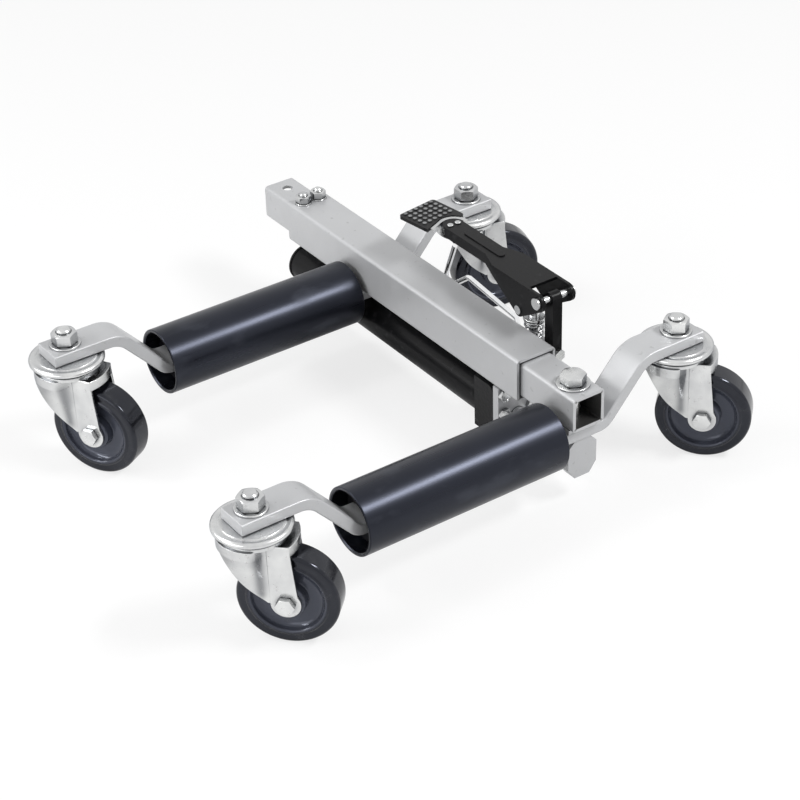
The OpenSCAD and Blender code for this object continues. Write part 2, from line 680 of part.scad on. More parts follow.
// Cast pump block with the rod bore, and a tower that holds the plunger
block_round = 8;
foot_back = 12;
module pump_block() color("#161618") framed() difference() {
    union() {
        along_y(block_near, tower_far - block_near - foot_back) block_side(block_bottom, block_top);
        along_y(tower_near, tower_w) block_side(tower_bottom, tower_top);
        rod_z(plunger_x, pump_y, tower_top - 4, tower_top + 2, spring_d + 6);
    }
    rod_x(block_left - 1, block_right + 1, tube_y, ram_z, rod_d + 2 * rod_room);
    rod_z(plunger_x, pump_y, tower_top, tower_top + 3, spring_d + 2);
    rod_z(plunger_x, pump_y, tower_top - bore_depth, tower_top + 3, plunger_d + 2 * run_fit);
    for (p = mount_spots)
        rod_x(block_right - mount_screw_depth, block_right + 1, p[0], p[1], mount_bolt_d + 2 * run_fit);
}
module block_side(z0, z1) {
    translate([block_left, z0]) square([block_len, z1 - z0 - block_round]);
    translate([block_left, z0]) square([block_len - block_round, z1 - z0]);
    translate([block_right - block_round, z1 - block_round]) circle(block_round);
}

// Valve body screwed into the left side of the tower
module release_valve() color("gainsboro") framed() difference() {
    union() {
        translate([block_left - valve_len, valve_y, valve_z]) rotate([0, 90, 0])
            linear_extrude(valve_len - 4) hexagon(valve_af);
        rod_x(block_left - 5, block_left, valve_y, valve_z, valve_af + 3);
    }
    rod_x(block_left - valve_len - 1, block_left - 2, valve_y, valve_z, spindle_d + 2 * run_fit);
}

post_bolt_z = [tower_top + 6, tower_top + 20];
module pedal_post() color("#161618") framed() difference() {
    along_y(pump_y - post_t / 2, post_t) {
        translate([post_x - post_w / 2, post_bottom]) square([post_w, pivot_z - post_bottom]);
        translate([post_x, pivot_z]) circle(d = post_w);
    }
    rod_y(post_x, pump_y - post_t, pump_y + post_t, pivot_z, pivot_pin_d + 2 * bolt_room);
    for (z = post_bolt_z)
        rod_x(plate_right - 1, plate_right + post_w + 1, pump_y, z, mount_bolt_d + 2 * bolt_room);
}

module post_bolts() color("gainsboro") framed() for (z = post_bolt_z) {
    rod_x(block_right, plate_right + post_w + eps, pump_y, z, mount_bolt_d);
    translate([plate_right + post_w, pump_y, z]) rotate([0, 90, 0]) linear_extrude(5) hexagon(12);
}

module pedal_pivot_pin() color("gainsboro") framed() {
    rod_y(post_x, pump_y - yoke_w / 2 - face_gap - 2, pump_y + yoke_w / 2 + face_gap + 2, pivot_z, pivot_pin_d);
    for (y = [pump_y - yoke_w / 2 - face_gap - 3, pump_y + yoke_w / 2 + face_gap])
        rod_y(post_x, y, y + 3, pivot_z, pivot_pin_d + 5);
}

// Straight sides of a link between two round ends
function tangent_quad(a, ra, b, rb) =
    let (d = norm(b - a), dir = atan2(b[1] - a[1], b[0] - a[0]), lean = acos((ra - rb) / d))
    [a + ra * [cos(dir + lean), sin(dir + lean)], b + rb * [cos(dir + lean), sin(dir + lean)],
     b + rb * [cos(dir - lean), sin(dir - lean)], a + ra * [cos(dir - lean), sin(dir - lean)]];
module link(a, ra, b, rb) {
    polygon(tangent_quad(a, ra, b, rb));
    translate(a) circle(ra);
    translate(b) circle(rb);
}

// Side outline of a cheek: a deep plate with round ears at the pivot and at the press pin
pivot_ear = 10;
module cheek_side() {
    link([post_x, pivot_z], pivot_ear, [plunger_x, press_z], press_r);
    polygon([[yoke_left, lever_top], [yoke_left, lever_top - channel_h],
             [plunger_x - press_r * 0.8, press_z - press_r * 0.6], [post_x, pivot_z - 4], [post_x, lever_top]]);
}

// Half of the lever seen from above: a round end, straight sides, and shoulders that spread to the yoke
nose_r = channel_w / 2;
nose_x = channel_left + nose_r;
shoulder_left = yoke_left - 24;
module lever_half_wall(inset) {
    polygon([[nose_x, nose_r - inset], [shoulder_left, nose_r - inset], [yoke_left, yoke_w / 2 - inset],
             [yoke_left, yoke_w / 2 - inset - lever_wall], [shoulder_left, nose_r - inset - lever_wall],
             [nose_x, nose_r - inset - lever_wall]]);
}
module lever_top_side() {
    translate([nose_x, 0]) circle(nose_r);
    polygon([[nose_x, nose_r], [shoulder_left, nose_r], [yoke_left, yoke_w / 2], [web_right, yoke_w / 2],
             [web_right, -yoke_w / 2], [yoke_left, -yoke_w / 2], [shoulder_left, -nose_r], [nose_x, -nose_r]]);
}

// Pressed lever: an inverted channel with a raised rib, which widens into a yoke with two cheeks
rib_w = 9;
rib_len = 58;
rib_t = 1.2;
rib_x = nose_x + 27;
module pedal_lever() color("#161618") framed() difference() {
    union() {
        translate([0, pump_y, lever_top - lever_wall]) linear_extrude(lever_wall) lever_top_side();
        translate([0, pump_y, lever_top - eps]) linear_extrude(rib_t + eps) {
            translate([rib_x, -rib_w / 2]) square([rib_len, rib_w]);
            for (x = [rib_x, rib_x + rib_len]) translate([x, 0]) circle(d = rib_w);
        }
        for (s = [-1, 1]) {
            translate([0, pump_y, lever_top - channel_h]) scale([1, s, 1])
                linear_extrude(channel_h) lever_half_wall(0);
            along_y(s > 0 ? pump_y + yoke_w / 2 - lever_wall : pump_y - yoke_w / 2, lever_wall) cheek_side();
        }
    }
    rod_y(post_x, pump_y - yoke_w, pump_y + yoke_w, pivot_z, pivot_pin_d + 2 * run_fit);
    rod_y(plunger_x, pump_y - yoke_w, pump_y + yoke_w, press_z, press_pin_d);
    for (s = [-1, 1]) rod_z(rivet_x, pump_y + s * rivet_y, lever_top - channel_h, lever_top + 1, rivet_d);
}

module lever_press_pin() color("gainsboro") framed()
    rod_y(plunger_x, pump_y - yoke_w / 2 - 1.5, pump_y + yoke_w / 2 + 1.5, press_z, press_pin_d);

// Strap under the pad, riveted inside the lever, with a raised lip that curves round the end of the lever
lip_w = 5.2;
lip_room = 1.2;
lip_top = lever_top - 0.4;
lip_tail = 20;
lip_turn = 24;
lip_r = nose_r + lip_room + lip_w;
module lip() {
    difference() {
        circle(lip_r);
        circle(lip_r - lip_w);
        translate([0, -2 * lip_r]) square(4 * lip_r);
        rotate([0, 0, lip_turn]) translate([-2 * lip_r, -4 * lip_r]) square(4 * lip_r);
    }
    rotate([0, 0, lip_turn]) translate([1 - lip_r, -lip_tail]) square([lip_w - 1.5, lip_tail + 3]);
}
module pedal_strap() color("gainsboro") framed() difference() {
    union() {
        translate([channel_left - 6, pump_y - strap_w / 2, strap_top - strap_t])
            cube([32, strap_w, strap_t]);
        translate([pad_x - 14, pump_y - strap_w / 2 - 4, strap_top - strap_t])
            cube([nose_x - pad_x + 2, strap_w + 4, strap_t]);
        translate([nose_x, pump_y, strap_top - eps]) linear_extrude(lip_top - strap_top + eps) lip();
    }
    for (s = [-1, 1]) rod_z(rivet_x, pump_y + s * rivet_y, strap_top - strap_t - 1, strap_top + 1, rivet_d);
}

// Tread pad with rows of raised studs
bump_cols = 5;
bump_rows = 6;
pad_r = 4;
pad_shown = 38;
module pedal_pad() color("#161618") framed() difference() {
    translate([pad_x, pad_y, strap_top]) rotate([0, 0, pad_turn]) {
        linear_extrude(pad_t) {
            square([pad_len - 2 * pad_r, pad_w], center = true);
            square([pad_len, pad_w - 2 * pad_r], center = true);
            for (sx = [-1, 1], sy = [-1, 1])
                translate([sx * (pad_len / 2 - pad_r), sy * (pad_w / 2 - pad_r)]) circle(pad_r);
        }
        for (i = [0:bump_cols - 1], j = [0:bump_rows - 1])
            translate([-pad_len / 2 + (i + 0.5) * pad_shown / bump_cols,
                       (j + 0.5 - bump_rows / 2) * (pad_w - 6) / bump_rows, pad_t - eps])
                cylinder(h = pad_bump_t, d = 4.4, $fn = 16);
    }
    rod_z(nose_x, pump_y, strap_top - 1, strap_top + pad_t + 3, 2 * (lip_r + face_gap));
    translate([nose_x, pump_y, strap_top - 1]) rotate([0, 0, lip_turn])
        translate([0.2 - lip_r, -3 * lip_r, 0]) cube([3 * lip_r, 3 * lip_r + 2, pad_t + 3]);
}

rivet_x = channel_left + 13;
rivet_y = 5;
rivet_d = 4;
module pedal_rivets() color("gainsboro") framed() for (s = [-1, 1]) {
    rod_z(rivet_x, pump_y + s * rivet_y, strap_top - strap_t - 1.6, lever_top + 1.6, rivet_d);
    rod_z(rivet_x, pump_y + s * rivet_y, lever_top, lever_top + 1.6, rivet_d + 3);
    rod_z(rivet_x, pump_y + s * rivet_y, strap_top - strap_t - 1.6, strap_top - strap_t, rivet_d + 3);
}

module pump_plunger() color("gainsboro") framed() {
    rod_z(plunger_x, pump_y, plunger_bottom, plunger_top - 2, plunger_d);
    translate([plunger_x, pump_y, plunger_top - 2]) rotate_extrude()
        polygon([[0, 0], [plunger_d / 2, 0], [plunger_d / 2 - 1.5, 1.6], [plunger_d / 2 - 3.5, 2], [0, 2]]);
}

module spring_cap() color("gainsboro") framed() translate([plunger_x, pump_y, cap_z])
    ring(cap_d, plunger_d + 2 * run_fit, cap_t);

// A round tube of wire along a list of points
function unit(v) = v / norm(v);
function tangent(path, i) = unit(path[min(i + 1, len(path) - 1)] - path[max(i - 1, 0)]);
function ring_at(path, i, r, sides, ref) =
    let (t = tangent(path, i), n = unit(cross(t, ref)), b = cross(n, t))
    [for (k = [0:sides - 1]) path[i] + r * (cos(360 * k / sides) * n + sin(360 * k / sides) * b)];
module wire(path, r, sides, ref) {
    count = len(path);
    points = [for (i = [0:count - 1]) each ring_at(path, i, r, sides, ref)];
    walls = [for (i = [0:count - 2], k = [0:sides - 1]) let (a = i * sides + k, b = i * sides + (k + 1) % sides)
        each [[a, b + sides, a + sides], [a, b, b + sides]]];
    start = [for (k = [1:sides - 2]) [0, k + 1, k]];
    last = (count - 1) * sides;
    end = [for (k = [1:sides - 2]) [last, last + k, last + k + 1]];
    polyhedron(points, concat(walls, start, end));
}

// Return spring: an open helix whose first and last turns lie closer
spring_steps = 8;
spring_low = tower_top + spring_wire / 2 + 0.1;
spring_high = cap_z - spring_wire / 2 - 0.1;
end_rise = spring_wire + 0.7;
mid_rise = (spring_high - spring_low - 2 * end_rise) / (spring_turns - 2);
function spring_rise(turn) =
    turn < 1 ? turn * end_rise
    : turn > spring_turns - 1 ? spring_high - spring_low - (spring_turns - turn) * end_rise
    : end_rise + (turn - 1) * mid_rise;
spring_path = [for (i = [0:spring_turns * spring_steps]) let (turn = i / spring_steps)
    [spring_r * cos(360 * turn), spring_r * sin(360 * turn), spring_low + spring_rise(turn)]];
spring_gap = min([for (i = [0:len(spring_path) - 1 - spring_steps / 2])
    min([for (k = [i + spring_steps / 2:len(spring_path) - 1]) norm(spring_path[k] - spring_path[i])])])
    - spring_wire;
module plunger_spring() color("gainsboro") framed() {
    echo(str("Least gap of the return spring to itself: ", spring_gap, " mm"));
    translate([plunger_x, pump_y, 0]) wire(spring_path, spring_wire / 2, 6, [0, 0, 1]);
}

// Corners of the release rod: it leaves the hub, runs left beside the lever, dips and rises again
wire_step = 16;
wire_run = 103;
wire_dip = 157;
wire_end = 128;
wire_first = 26;
wire_high = 37;
wire_low = 5;
wire_top = 66;
hub_x = block_left - valve_len - hub_len / 2 - 1;
release_corners = [
    [hub_x, valve_y, valve_z + 3], [hub_x, valve_y + 1, valve_z + 17],
    [hub_x - wire_step, wire_y, valve_z + wire_first], [hub_x - wire_run, wire_y, valve_z + wire_high],
    [hub_x - wire_dip, wire_y, valve_z - wire_low], [hub_x - wire_end, wire_y, valve_z + wire_top]
];
release_bend = 8;
bend_steps = 5;
function turn_at(p, i) = acos(unit(p[i] - p[i - 1]) * unit(p[i + 1] - p[i]));
// Points of the round bend at corner i
function bend_points(p, i) =
    let (u = unit(p[i] - p[i - 1]), v = unit(p[i + 1] - p[i]), turn = turn_at(p, i),
         n = unit(v - (u * v) * u), c = p[i] - u * release_bend * tan(turn / 2) + n * release_bend)
    [for (k = [0:bend_steps]) let (t = turn * k / bend_steps)
        c - n * release_bend * cos(t) + u * release_bend * sin(t)];
release_path = concat([release_corners[0]],
    [for (i = [1:len(release_corners) - 2]) each bend_points(release_corners, i)],
    [release_corners[len(release_corners) - 1]]);

module release_rod() color("gainsboro") framed() {
    wire(release_path, wire_d / 2, 12, [0, 1, 0]);
    rod_x(hub_x - hub_len / 2, hub_x + hub_len / 2, valve_y, valve_z, hub_turn_d);
    rod_x(hub_x, block_left - 4, valve_y, valve_z, spindle_d);
}

corners = [["lf", 0, 0, lf_angle], ["rf", arm_spacing, 0, rf_angle],
           ["lr", 0, caster_spacing, lr_angle], ["rr", arm_spacing, caster_spacing, rr_angle]];

outer_sleeve();
sleeve_guides();
sleeve_bolts();
left_arm();
left_roller_journals();
pump_mount_plate();
pump_mount_bolts();
pump_block();
ram_cylinder();
cylinder_end_cap();
rod_gland();
pedal_post();
post_bolts();
pedal_pivot_pin();
release_valve();
left_top_races();
left_kingpins();
left_kingpin_nuts();
left_roller();
left_roller_bushes();
inner_tube();
right_arm();
right_packing_plate();
right_roller_journals();
tube_end_bolt();
rod_lug();
ram_rod();
ram_piston();
rod_nuts();
right_top_races();
right_kingpins();
right_kingpin_nuts();
right_roller();
right_roller_bushes();
pedal_lever();
pedal_strap();
pedal_pad();
pedal_rivets();
lever_press_pin();
pump_plunger();
spring_cap();
plunger_spring();
release_rod();
for (c = corners) {
    color("lightgray") framed() swivelled(c[1], c[2], c[3]) fork();
    color("gainsboro") framed() swivelled(c[1], c[2], c[3]) axle();
    color("#202226") framed() swivelled(c[1], c[2], c[3]) wheel();
    color("gray") framed() swivelled(c[1], c[2], c[3]) wheel_bush();
}
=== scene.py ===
import json
import math

import bmesh
import bpy
from mathutils import Matrix, Vector


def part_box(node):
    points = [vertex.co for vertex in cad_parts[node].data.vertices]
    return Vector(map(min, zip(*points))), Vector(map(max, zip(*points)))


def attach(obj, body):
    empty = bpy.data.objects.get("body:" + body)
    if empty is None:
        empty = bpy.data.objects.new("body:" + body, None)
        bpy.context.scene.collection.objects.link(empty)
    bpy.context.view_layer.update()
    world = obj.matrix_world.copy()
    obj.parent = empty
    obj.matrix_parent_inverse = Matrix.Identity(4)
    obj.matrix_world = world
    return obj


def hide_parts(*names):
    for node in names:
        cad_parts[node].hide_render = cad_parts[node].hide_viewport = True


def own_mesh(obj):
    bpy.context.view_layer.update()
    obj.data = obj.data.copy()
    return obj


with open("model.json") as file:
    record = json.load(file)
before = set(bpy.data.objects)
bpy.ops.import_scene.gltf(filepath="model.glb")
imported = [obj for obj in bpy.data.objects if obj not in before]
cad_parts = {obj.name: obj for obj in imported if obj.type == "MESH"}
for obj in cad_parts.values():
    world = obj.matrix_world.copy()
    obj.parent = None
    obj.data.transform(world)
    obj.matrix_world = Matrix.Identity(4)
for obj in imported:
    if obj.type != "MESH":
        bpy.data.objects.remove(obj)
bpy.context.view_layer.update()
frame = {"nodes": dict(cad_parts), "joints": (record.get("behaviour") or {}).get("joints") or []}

# Studio: a pale floor, a high lamp behind the object, three before it, and the photograph's camera.
# The lamps are plain white, and what the camera and the polished parts see of the world is white.
scene = bpy.context.scene
scene.view_settings.view_transform = "Standard"


class Link:
    """An output socket. Arithmetic on it adds Math nodes."""

    def __init__(self, graph, socket):
        self.graph = graph
        self.socket = socket

    def _math(self, operation, first, second):
        return self.graph.add("ShaderNodeMath", {"operation": operation}, {0: first, 1: second})

    def __add__(self, other):
        return self._math("ADD", self, other)

    __radd__ = __add__

    def __sub__(self, other):
        return self._math("SUBTRACT", self, other)

    def __rsub__(self, other):
        return self._math("SUBTRACT", other, self)

    def __mul__(self, other):
        return self._math("MULTIPLY", self, other)

    __rmul__ = __mul__

    def __truediv__(self, other):
        return self._math("DIVIDE", self, other)


class Graph:
    """Adds nodes to a node tree."""

    def __init__(self, tree):
        self.tree = tree

    def add(self, kind, settings=None, inputs=None, output=0):
        """A node of this type, with its settings, then the values or links of its sockets."""
        node = self.tree.nodes.new(kind)
        for name, value in (settings or {}).items():
            setattr(node, name, value)
        for key, value in (inputs or {}).items():
            if isinstance(value, Link):
                self.tree.links.new(value.socket, node.inputs[key])
            else:
                node.inputs[key].default_value = value
        return Link(self, node.outputs[output])


FLOOR_SIZE = 14.0
LAMP_WHITE = (1.0, 1.0, 1.0)


def seen_directly(graph):
    """1 where the camera or a mirror looks, 0 for the light that falls on the object."""
    direct, mirrored, through = (graph.add("ShaderNodeLightPath", output="Is %s Ray" % ray)
                                 for ray in ("Camera", "Glossy", "Transmission"))
    return direct + mirrored + through


def lamp(name, place, aim, width, height, power):
    light = bpy.data.lights.new(name, "AREA")
    light.shape = "RECTANGLE"
    light.size = width
    light.size_y = height
    light.energy = power
    light.color = LAMP_WHITE
    thing = bpy.data.objects.new(name, light)
    facing = (aim - place).to_track_quat("-Z", "Y").to_matrix().to_4x4()
    thing.matrix_world = Matrix.Translation(place) @ facing
    scene.collection.objects.link(thing)


OBJECT_MIDDLE = Vector((0.0, 0.0, 0.08))
lamp("key", Vector((1.35, 1.12, 2.0)), OBJECT_MIDDLE, 0.85, 0.4, 41)
lamp("front_top", Vector((-0.9, -1.3, 2.1)), OBJECT_MIDDLE, 0.5, 0.5, 12)
lamp("front_bank", Vector((-0.85, -2.2, 1.35)), OBJECT_MIDDLE, 1.9, 0.42, 27)
lamp("front_fill", Vector((0.4, -2.6, 0.9)), OBJECT_MIDDLE, 2.4, 1.2, 17)

world = bpy.data.worlds.new("studio")
world.use_nodes = True
scene.world = world
WORLD_LIGHT = 0.4
world_graph = Graph(world.node_tree)
backdrop = world.node_tree.nodes["Background"]
backdrop.inputs["Color"].default_value = (1, 1, 1, 1)
shown = world_graph.add("ShaderNodeMath", {"operation": "MINIMUM"}, {0: seen_directly(world_graph), 1: 1.0})
strength = shown * (1 - WORLD_LIGHT) + WORLD_LIGHT
world.node_tree.links.new(strength.socket, backdrop.inputs["Strength"])

floor_mesh = bpy.data.meshes.new("floor")
half = FLOOR_SIZE / 2
floor_corners = [(-half, -half, 0), (half, -half, 0), (half, half, 0), (-half, half, 0)]
floor_mesh.from_pydata(floor_corners, [], [(0, 1, 2, 3)])
floor = bpy.data.objects.new("floor", floor_mesh)
scene.collection.objects.link(floor)
floor_paint = bpy.data.materials.new("floor_paint")
floor_paint.use_nodes = True
floor_graph = Graph(floor_paint.node_tree)
floor_shader = floor_paint.node_tree.nodes["Principled BSDF"]
floor_shader.inputs["Base Color"].default_value = (0.9, 0.9, 0.9, 1)
floor_shader.inputs["Roughness"].default_value = 0.9
FLOOR_GLOW = 0.75
glow = floor_graph.add("ShaderNodeEmission", inputs={"Color": (1, 1, 1, 1), "Strength": 1.0})
lit = Link(floor_graph, floor_shader.outputs["BSDF"])
share = floor_graph.add("ShaderNodeLightPath", output="Is Camera Ray") * FLOOR_GLOW
floor_mix = floor_graph.add("ShaderNodeMixShader", inputs={0: share, 1: lit, 2: glow})
floor_output = floor_paint.node_tree.nodes["Material Output"]
floor_paint.node_tree.links.new(floor_mix.socket, floor_output.inputs["Surface"])
floor_mesh.materials.append(floor_paint)

CAMERA_PLACE = Vector((1.7463, -1.1259, 1.3827))
CAMERA_AZIMUTH = math.radians(55.97)
CAMERA_ELEVATION = math.radians(33.16)
CAMERA_ROLL = math.radians(-1.86)
right = Vector((math.cos(CAMERA_AZIMUTH), math.sin(CAMERA_AZIMUTH), 0))
ahead = Vector((-math.sin(CAMERA_AZIMUTH) * math.cos(CAMERA_ELEVATION),
                math.cos(CAMERA_AZIMUTH) * math.cos(CAMERA_ELEVATION), -math.sin(CAMERA_ELEVATION)))
upward = right.cross(ahead)
rolled_right = math.cos(CAMERA_ROLL) * right + math.sin(CAMERA_ROLL) * upward
rolled_up = math.cos(CAMERA_ROLL) * upward - math.sin(CAMERA_ROLL) * right
camera_data = bpy.data.cameras.new("camera")
camera_data.sensor_width = 36.0
camera_data.lens = 102.7
camera = bpy.data.objects.new("camera", camera_data)
camera_turn = Matrix((rolled_right, rolled_up, -ahead)).transposed().to_4x4()
camera.matrix_world = Matrix.Translation(CAMERA_PLACE) @ camera_turn
scene.collection.objects.link(camera)
scene.camera = camera

# Arms: two identical hot-rolled flat bars, bent down and level again at both ends, cut square.
# Satin silver-grey enamel over the whole bar. A bar runs through its roller and under the tubes.
X_AXIS = Vector((1, 0, 0))
Y_AXIS = Vector((0, 1, 0))
Z_AXIS = Vector((0, 0, 1))


class Finish(Graph):
    """A material of the object, with constant sockets, and the nodes that vary it."""

    def __init__(self, name, **constants):
        self.material = bpy.data.materials.new(name)
        self.material.use_nodes = True
        super().__init__(self.material.node_tree)
        self.shader = self.tree.nodes["Principled BSDF"]
        for socket, value in constants.items():
            self.shader.inputs[socket.replace("_", " ")].default_value = value

    def noise(self, scale, detail=2.0, stretch=(1, 1, 1)):
        """Noise from 0 to 1 with this many cells per metre, drawn out along the axes that stretch names."""
        place = self.add("ShaderNodeTexCoord", output="Object")
        cells = tuple(scale / s for s in stretch)
        drawn = self.add("ShaderNodeMapping", inputs={"Vector": place, "Scale": cells})
        return self.add("ShaderNodeTexNoise", inputs={"Vector": drawn, "Scale": 1.0, "Detail": detail})

    def spread(self, link, low, high, to_low=0.0, to_high=1.0):
        """Maps the range low to high of a link onto another range, and holds it there."""
        return self.add("ShaderNodeMapRange", {"clamp": True}, {
            "Value": link, "From Min": low, "From Max": high, "To Min": to_low, "To Max": to_high})

    def mixed(self, share, first, second):
        """A colour between two colours or links."""
        return self.add("ShaderNodeMix", {"data_type": "RGBA"}, {0: share, 6: first, 7: second}, output=2)

    def marking(self, name):
        """The share that marked wrote at each point."""
        return self.add("ShaderNodeAttribute", {"attribute_name": name}, output="Fac")

    def bump(self, height, depth):
        """A normal from a height link and the depth, in metres, that a height of 1 stands for."""
        return self.add("ShaderNodeBump", inputs={"Height": height, "Distance": depth, "Strength": 1.0})

    def fed(self, **links):
        """The material, with these outputs linked to its shader's sockets."""
        for socket, link in links.items():
            self.tree.links.new(link.socket, self.shader.inputs[socket.replace("_", " ")])
        return self.material


def grey_enamel():
    """Silver-grey enamel, peeled, clouded and rubbed in spots. Inside the tubes it is bare steel, coloured
    near black as painted shade.
    """
    finish = Finish("grey_enamel", Coat_Roughness=0.4, IOR=1.5)
    clouds = finish.spread(finish.noise(9, 3), 0.35, 0.65)
    flake = finish.spread(finish.noise(1600, 1), 0.3, 0.7)
    paint = finish.mixed(clouds * 0.6 + flake * 0.4, (0.43, 0.435, 0.445, 1), (0.50, 0.505, 0.515, 1))
    rubbed = finish.spread(finish.noise(130, 5), 0.66, 0.72)
    peel = finish.noise(520, 2)
    streaks = finish.noise(70, 4, (1, 14, 1))
    bare = finish.marking("bare")
    coated = finish.mixed(rubbed * 0.5, paint, (0.32, 0.32, 0.32, 1))
    return finish.fed(
        # Painted shade: the marked inside of a tube is near black, bare steel darkened for the shade there.
        Base_Color=finish.mixed(bare, coated, (0.045, 0.044, 0.043, 1)),
        Metallic=0.25 + flake * 0.2,
        Roughness=finish.spread(streaks, 0.3, 0.7, 0.36, 0.46) + rubbed * 0.12,
        Coat_Weight=0.25 - rubbed * 0.2,
        Normal=finish.bump(peel - rubbed * 0.6, 0.00006))


class Rule(Graph):
    """A Geometry Nodes tree with named inputs, ending in Realize Instances and Set Material."""

    def __init__(self, name, **kinds):
        super().__init__(bpy.data.node_groups.new(name, "GeometryNodeTree"))
        sockets = self.tree.interface
        sockets.new_socket("Geometry", in_out="INPUT", socket_type="NodeSocketGeometry")
        for label, kind in kinds.items():
            sockets.new_socket(label, in_out="INPUT", socket_type="NodeSocket" + kind)
        sockets.new_socket("material", in_out="INPUT", socket_type="NodeSocketMaterial")
        sockets.new_socket("Geometry", in_out="OUTPUT", socket_type="NodeSocketGeometry")
        self.entry = self.tree.nodes.new("NodeGroupInput")

    def given(self, label):
        return Link(self, self.entry.outputs[label])

    def end(self, shape):
        real = self.add("GeometryNodeRealizeInstances", inputs={0: shape})
        painted = self.add("GeometryNodeSetMaterial", inputs={
            "Geometry": real, "Material": self.given("material")})
        way_out = self.tree.nodes.new("NodeGroupOutput")
        self.tree.links.new(painted.socket, way_out.inputs[0])

    def made(self, base, **values):
        """The mesh that the rule makes of a base mesh with these inputs."""
        thing = bpy.data.objects.new(self.tree.name, base)
        scene.collection.objects.link(thing)
        modifier = thing.modifiers.new("rule", "NODES")
        modifier.node_group = self.tree
        for item in self.tree.interface.items_tree:
            if item.in_out == "INPUT" and item.name in values:
                modifier[item.identifier] = values[item.name]
        mesh = evaluated(thing)
        bpy.data.objects.remove(thing)
        return mesh


def evaluated(thing):
    """The mesh of an object with its modifiers applied."""
    graph = bpy.context.evaluated_depsgraph_get()
    return bpy.data.meshes.new_from_object(thing.evaluated_get(graph), depsgraph=graph)


def line(points):
    """A mesh of edges through these points."""
    mesh = bpy.data.meshes.new("line")
    mesh.from_pydata([tuple(p) for p in points], [(i, i + 1) for i in range(len(points) - 1)], [])
    return mesh


def shape(points, faces):
    """A closed mesh: doubles merged, empty faces gone, normals outward."""
    mesh = bpy.data.meshes.new("shape")
    mesh.from_pydata([tuple(p) for p in points], [], faces)
    work = bmesh.new()
    work.from_mesh(mesh)
    bmesh.ops.remove_doubles(work, verts=work.verts, dist=1e-7)
    bmesh.ops.recalc_face_normals(work, faces=work.faces)
    work.to_mesh(mesh)
    work.free()
    return mesh


def joined(*meshes):
    """One mesh of several."""
    work = bmesh.new()
    for mesh in meshes:
        work.from_mesh(mesh)
    whole = bpy.data.meshes.new("joined")
    work.to_mesh(whole)
    work.free()
    return whole


def placed(mesh, matrix):
    """A copy of a mesh, moved by a matrix."""
    copy = mesh.copy()
    copy.transform(matrix)
    return copy


def rounded(mesh, radius, segments=3, least_angle=32):
    """The mesh with its sharp edges rounded."""
    thing = bpy.data.objects.new("rounded", mesh)
    scene.collection.objects.link(thing)
    bevel = thing.modifiers.new("edges", "BEVEL")
    bevel.width = radius
    bevel.segments = segments
    bevel.limit_method = "ANGLE"
    bevel.angle_limit = math.radians(least_angle)
    result = evaluated(thing)
    bpy.data.objects.remove(thing)
    return result


def piece(name, mesh, material, body, slot, *nodes):
    """A finished piece of the object, riding on its body in the place of its CAD nodes."""
    thing = bpy.data.objects.new(name, mesh)
    scene.collection.objects.link(thing)
    mesh.materials.clear()
    mesh.materials.append(material)
    mesh.polygons.foreach_set("use_smooth", [True] * len(mesh.polygons))
    mesh.polygons.foreach_set("material_index", [0] * len(mesh.polygons))
    mesh.set_sharp_from_angle(angle=math.radians(40))
    weighting = thing.modifiers.new("weighting", "WEIGHTED_NORMAL")
    weighting.keep_sharp = True
    finished = evaluated(thing)
    thing.modifiers.clear()
    thing.data = finished
    thing.name = name
    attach(thing, body)
    if nodes:
        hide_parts(*nodes)
    return thing


def middle_of(node):
    """The middle of a CAD node's box."""
    low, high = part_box(node)
    return (low + high) / 2


BAR_THICKNESS = 0.0127
BAR_EDGE = 0.0018
END_EDGE = 0.0008
UPPER_BEND = 0.030
LOWER_BEND = 0.016
BEND_SLOPE = math.radians(48)
FLAT_LENGTH = 0.042
BAR_END = 0.022

bent_bar = Rule("bent_bar", width="Float", thickness="Float", edge_radius="Float",
                upper_bend="Float", lower_bend="Float", middle_height="Float")
bar_line = bent_bar.add("GeometryNodeMeshToCurve", inputs={0: bent_bar.given("Geometry")})
corner_place = bent_bar.add("GeometryNodeInputPosition")
corner_height = bent_bar.add("ShaderNodeSeparateXYZ", inputs={0: corner_place}, output="Z")
is_upper = bent_bar.add("ShaderNodeMath", {"operation": "GREATER_THAN"},
                        {0: corner_height, 1: bent_bar.given("middle_height")})
bend_radius = is_upper * bent_bar.given("upper_bend") + (1 - is_upper) * bent_bar.given("lower_bend")
bar_bent = bent_bar.add("GeometryNodeFilletCurve", {"mode": "POLY"},
                        {"Curve": bar_line, "Count": 14, "Radius": bend_radius})
bar_faced = bent_bar.add("GeometryNodeSetCurveNormal", {"mode": "FREE"}, {
    "Curve": bar_bent, "Normal": (1, 0, 0)})
bar_section = bent_bar.add("GeometryNodeCurvePrimitiveQuadrilateral", inputs={
    "Width": bent_bar.given("width"), "Height": bent_bar.given("thickness")})
bar_rounded = bent_bar.add("GeometryNodeFilletCurve", {"mode": "POLY"},
                           {"Curve": bar_section, "Count": 5, "Radius": bent_bar.given("edge_radius")})
bar_swept = bent_bar.add("GeometryNodeCurveToMesh", inputs={
    "Curve": bar_faced, "Profile Curve": bar_rounded, "Fill Caps": True})
bent_bar.end(bar_swept)

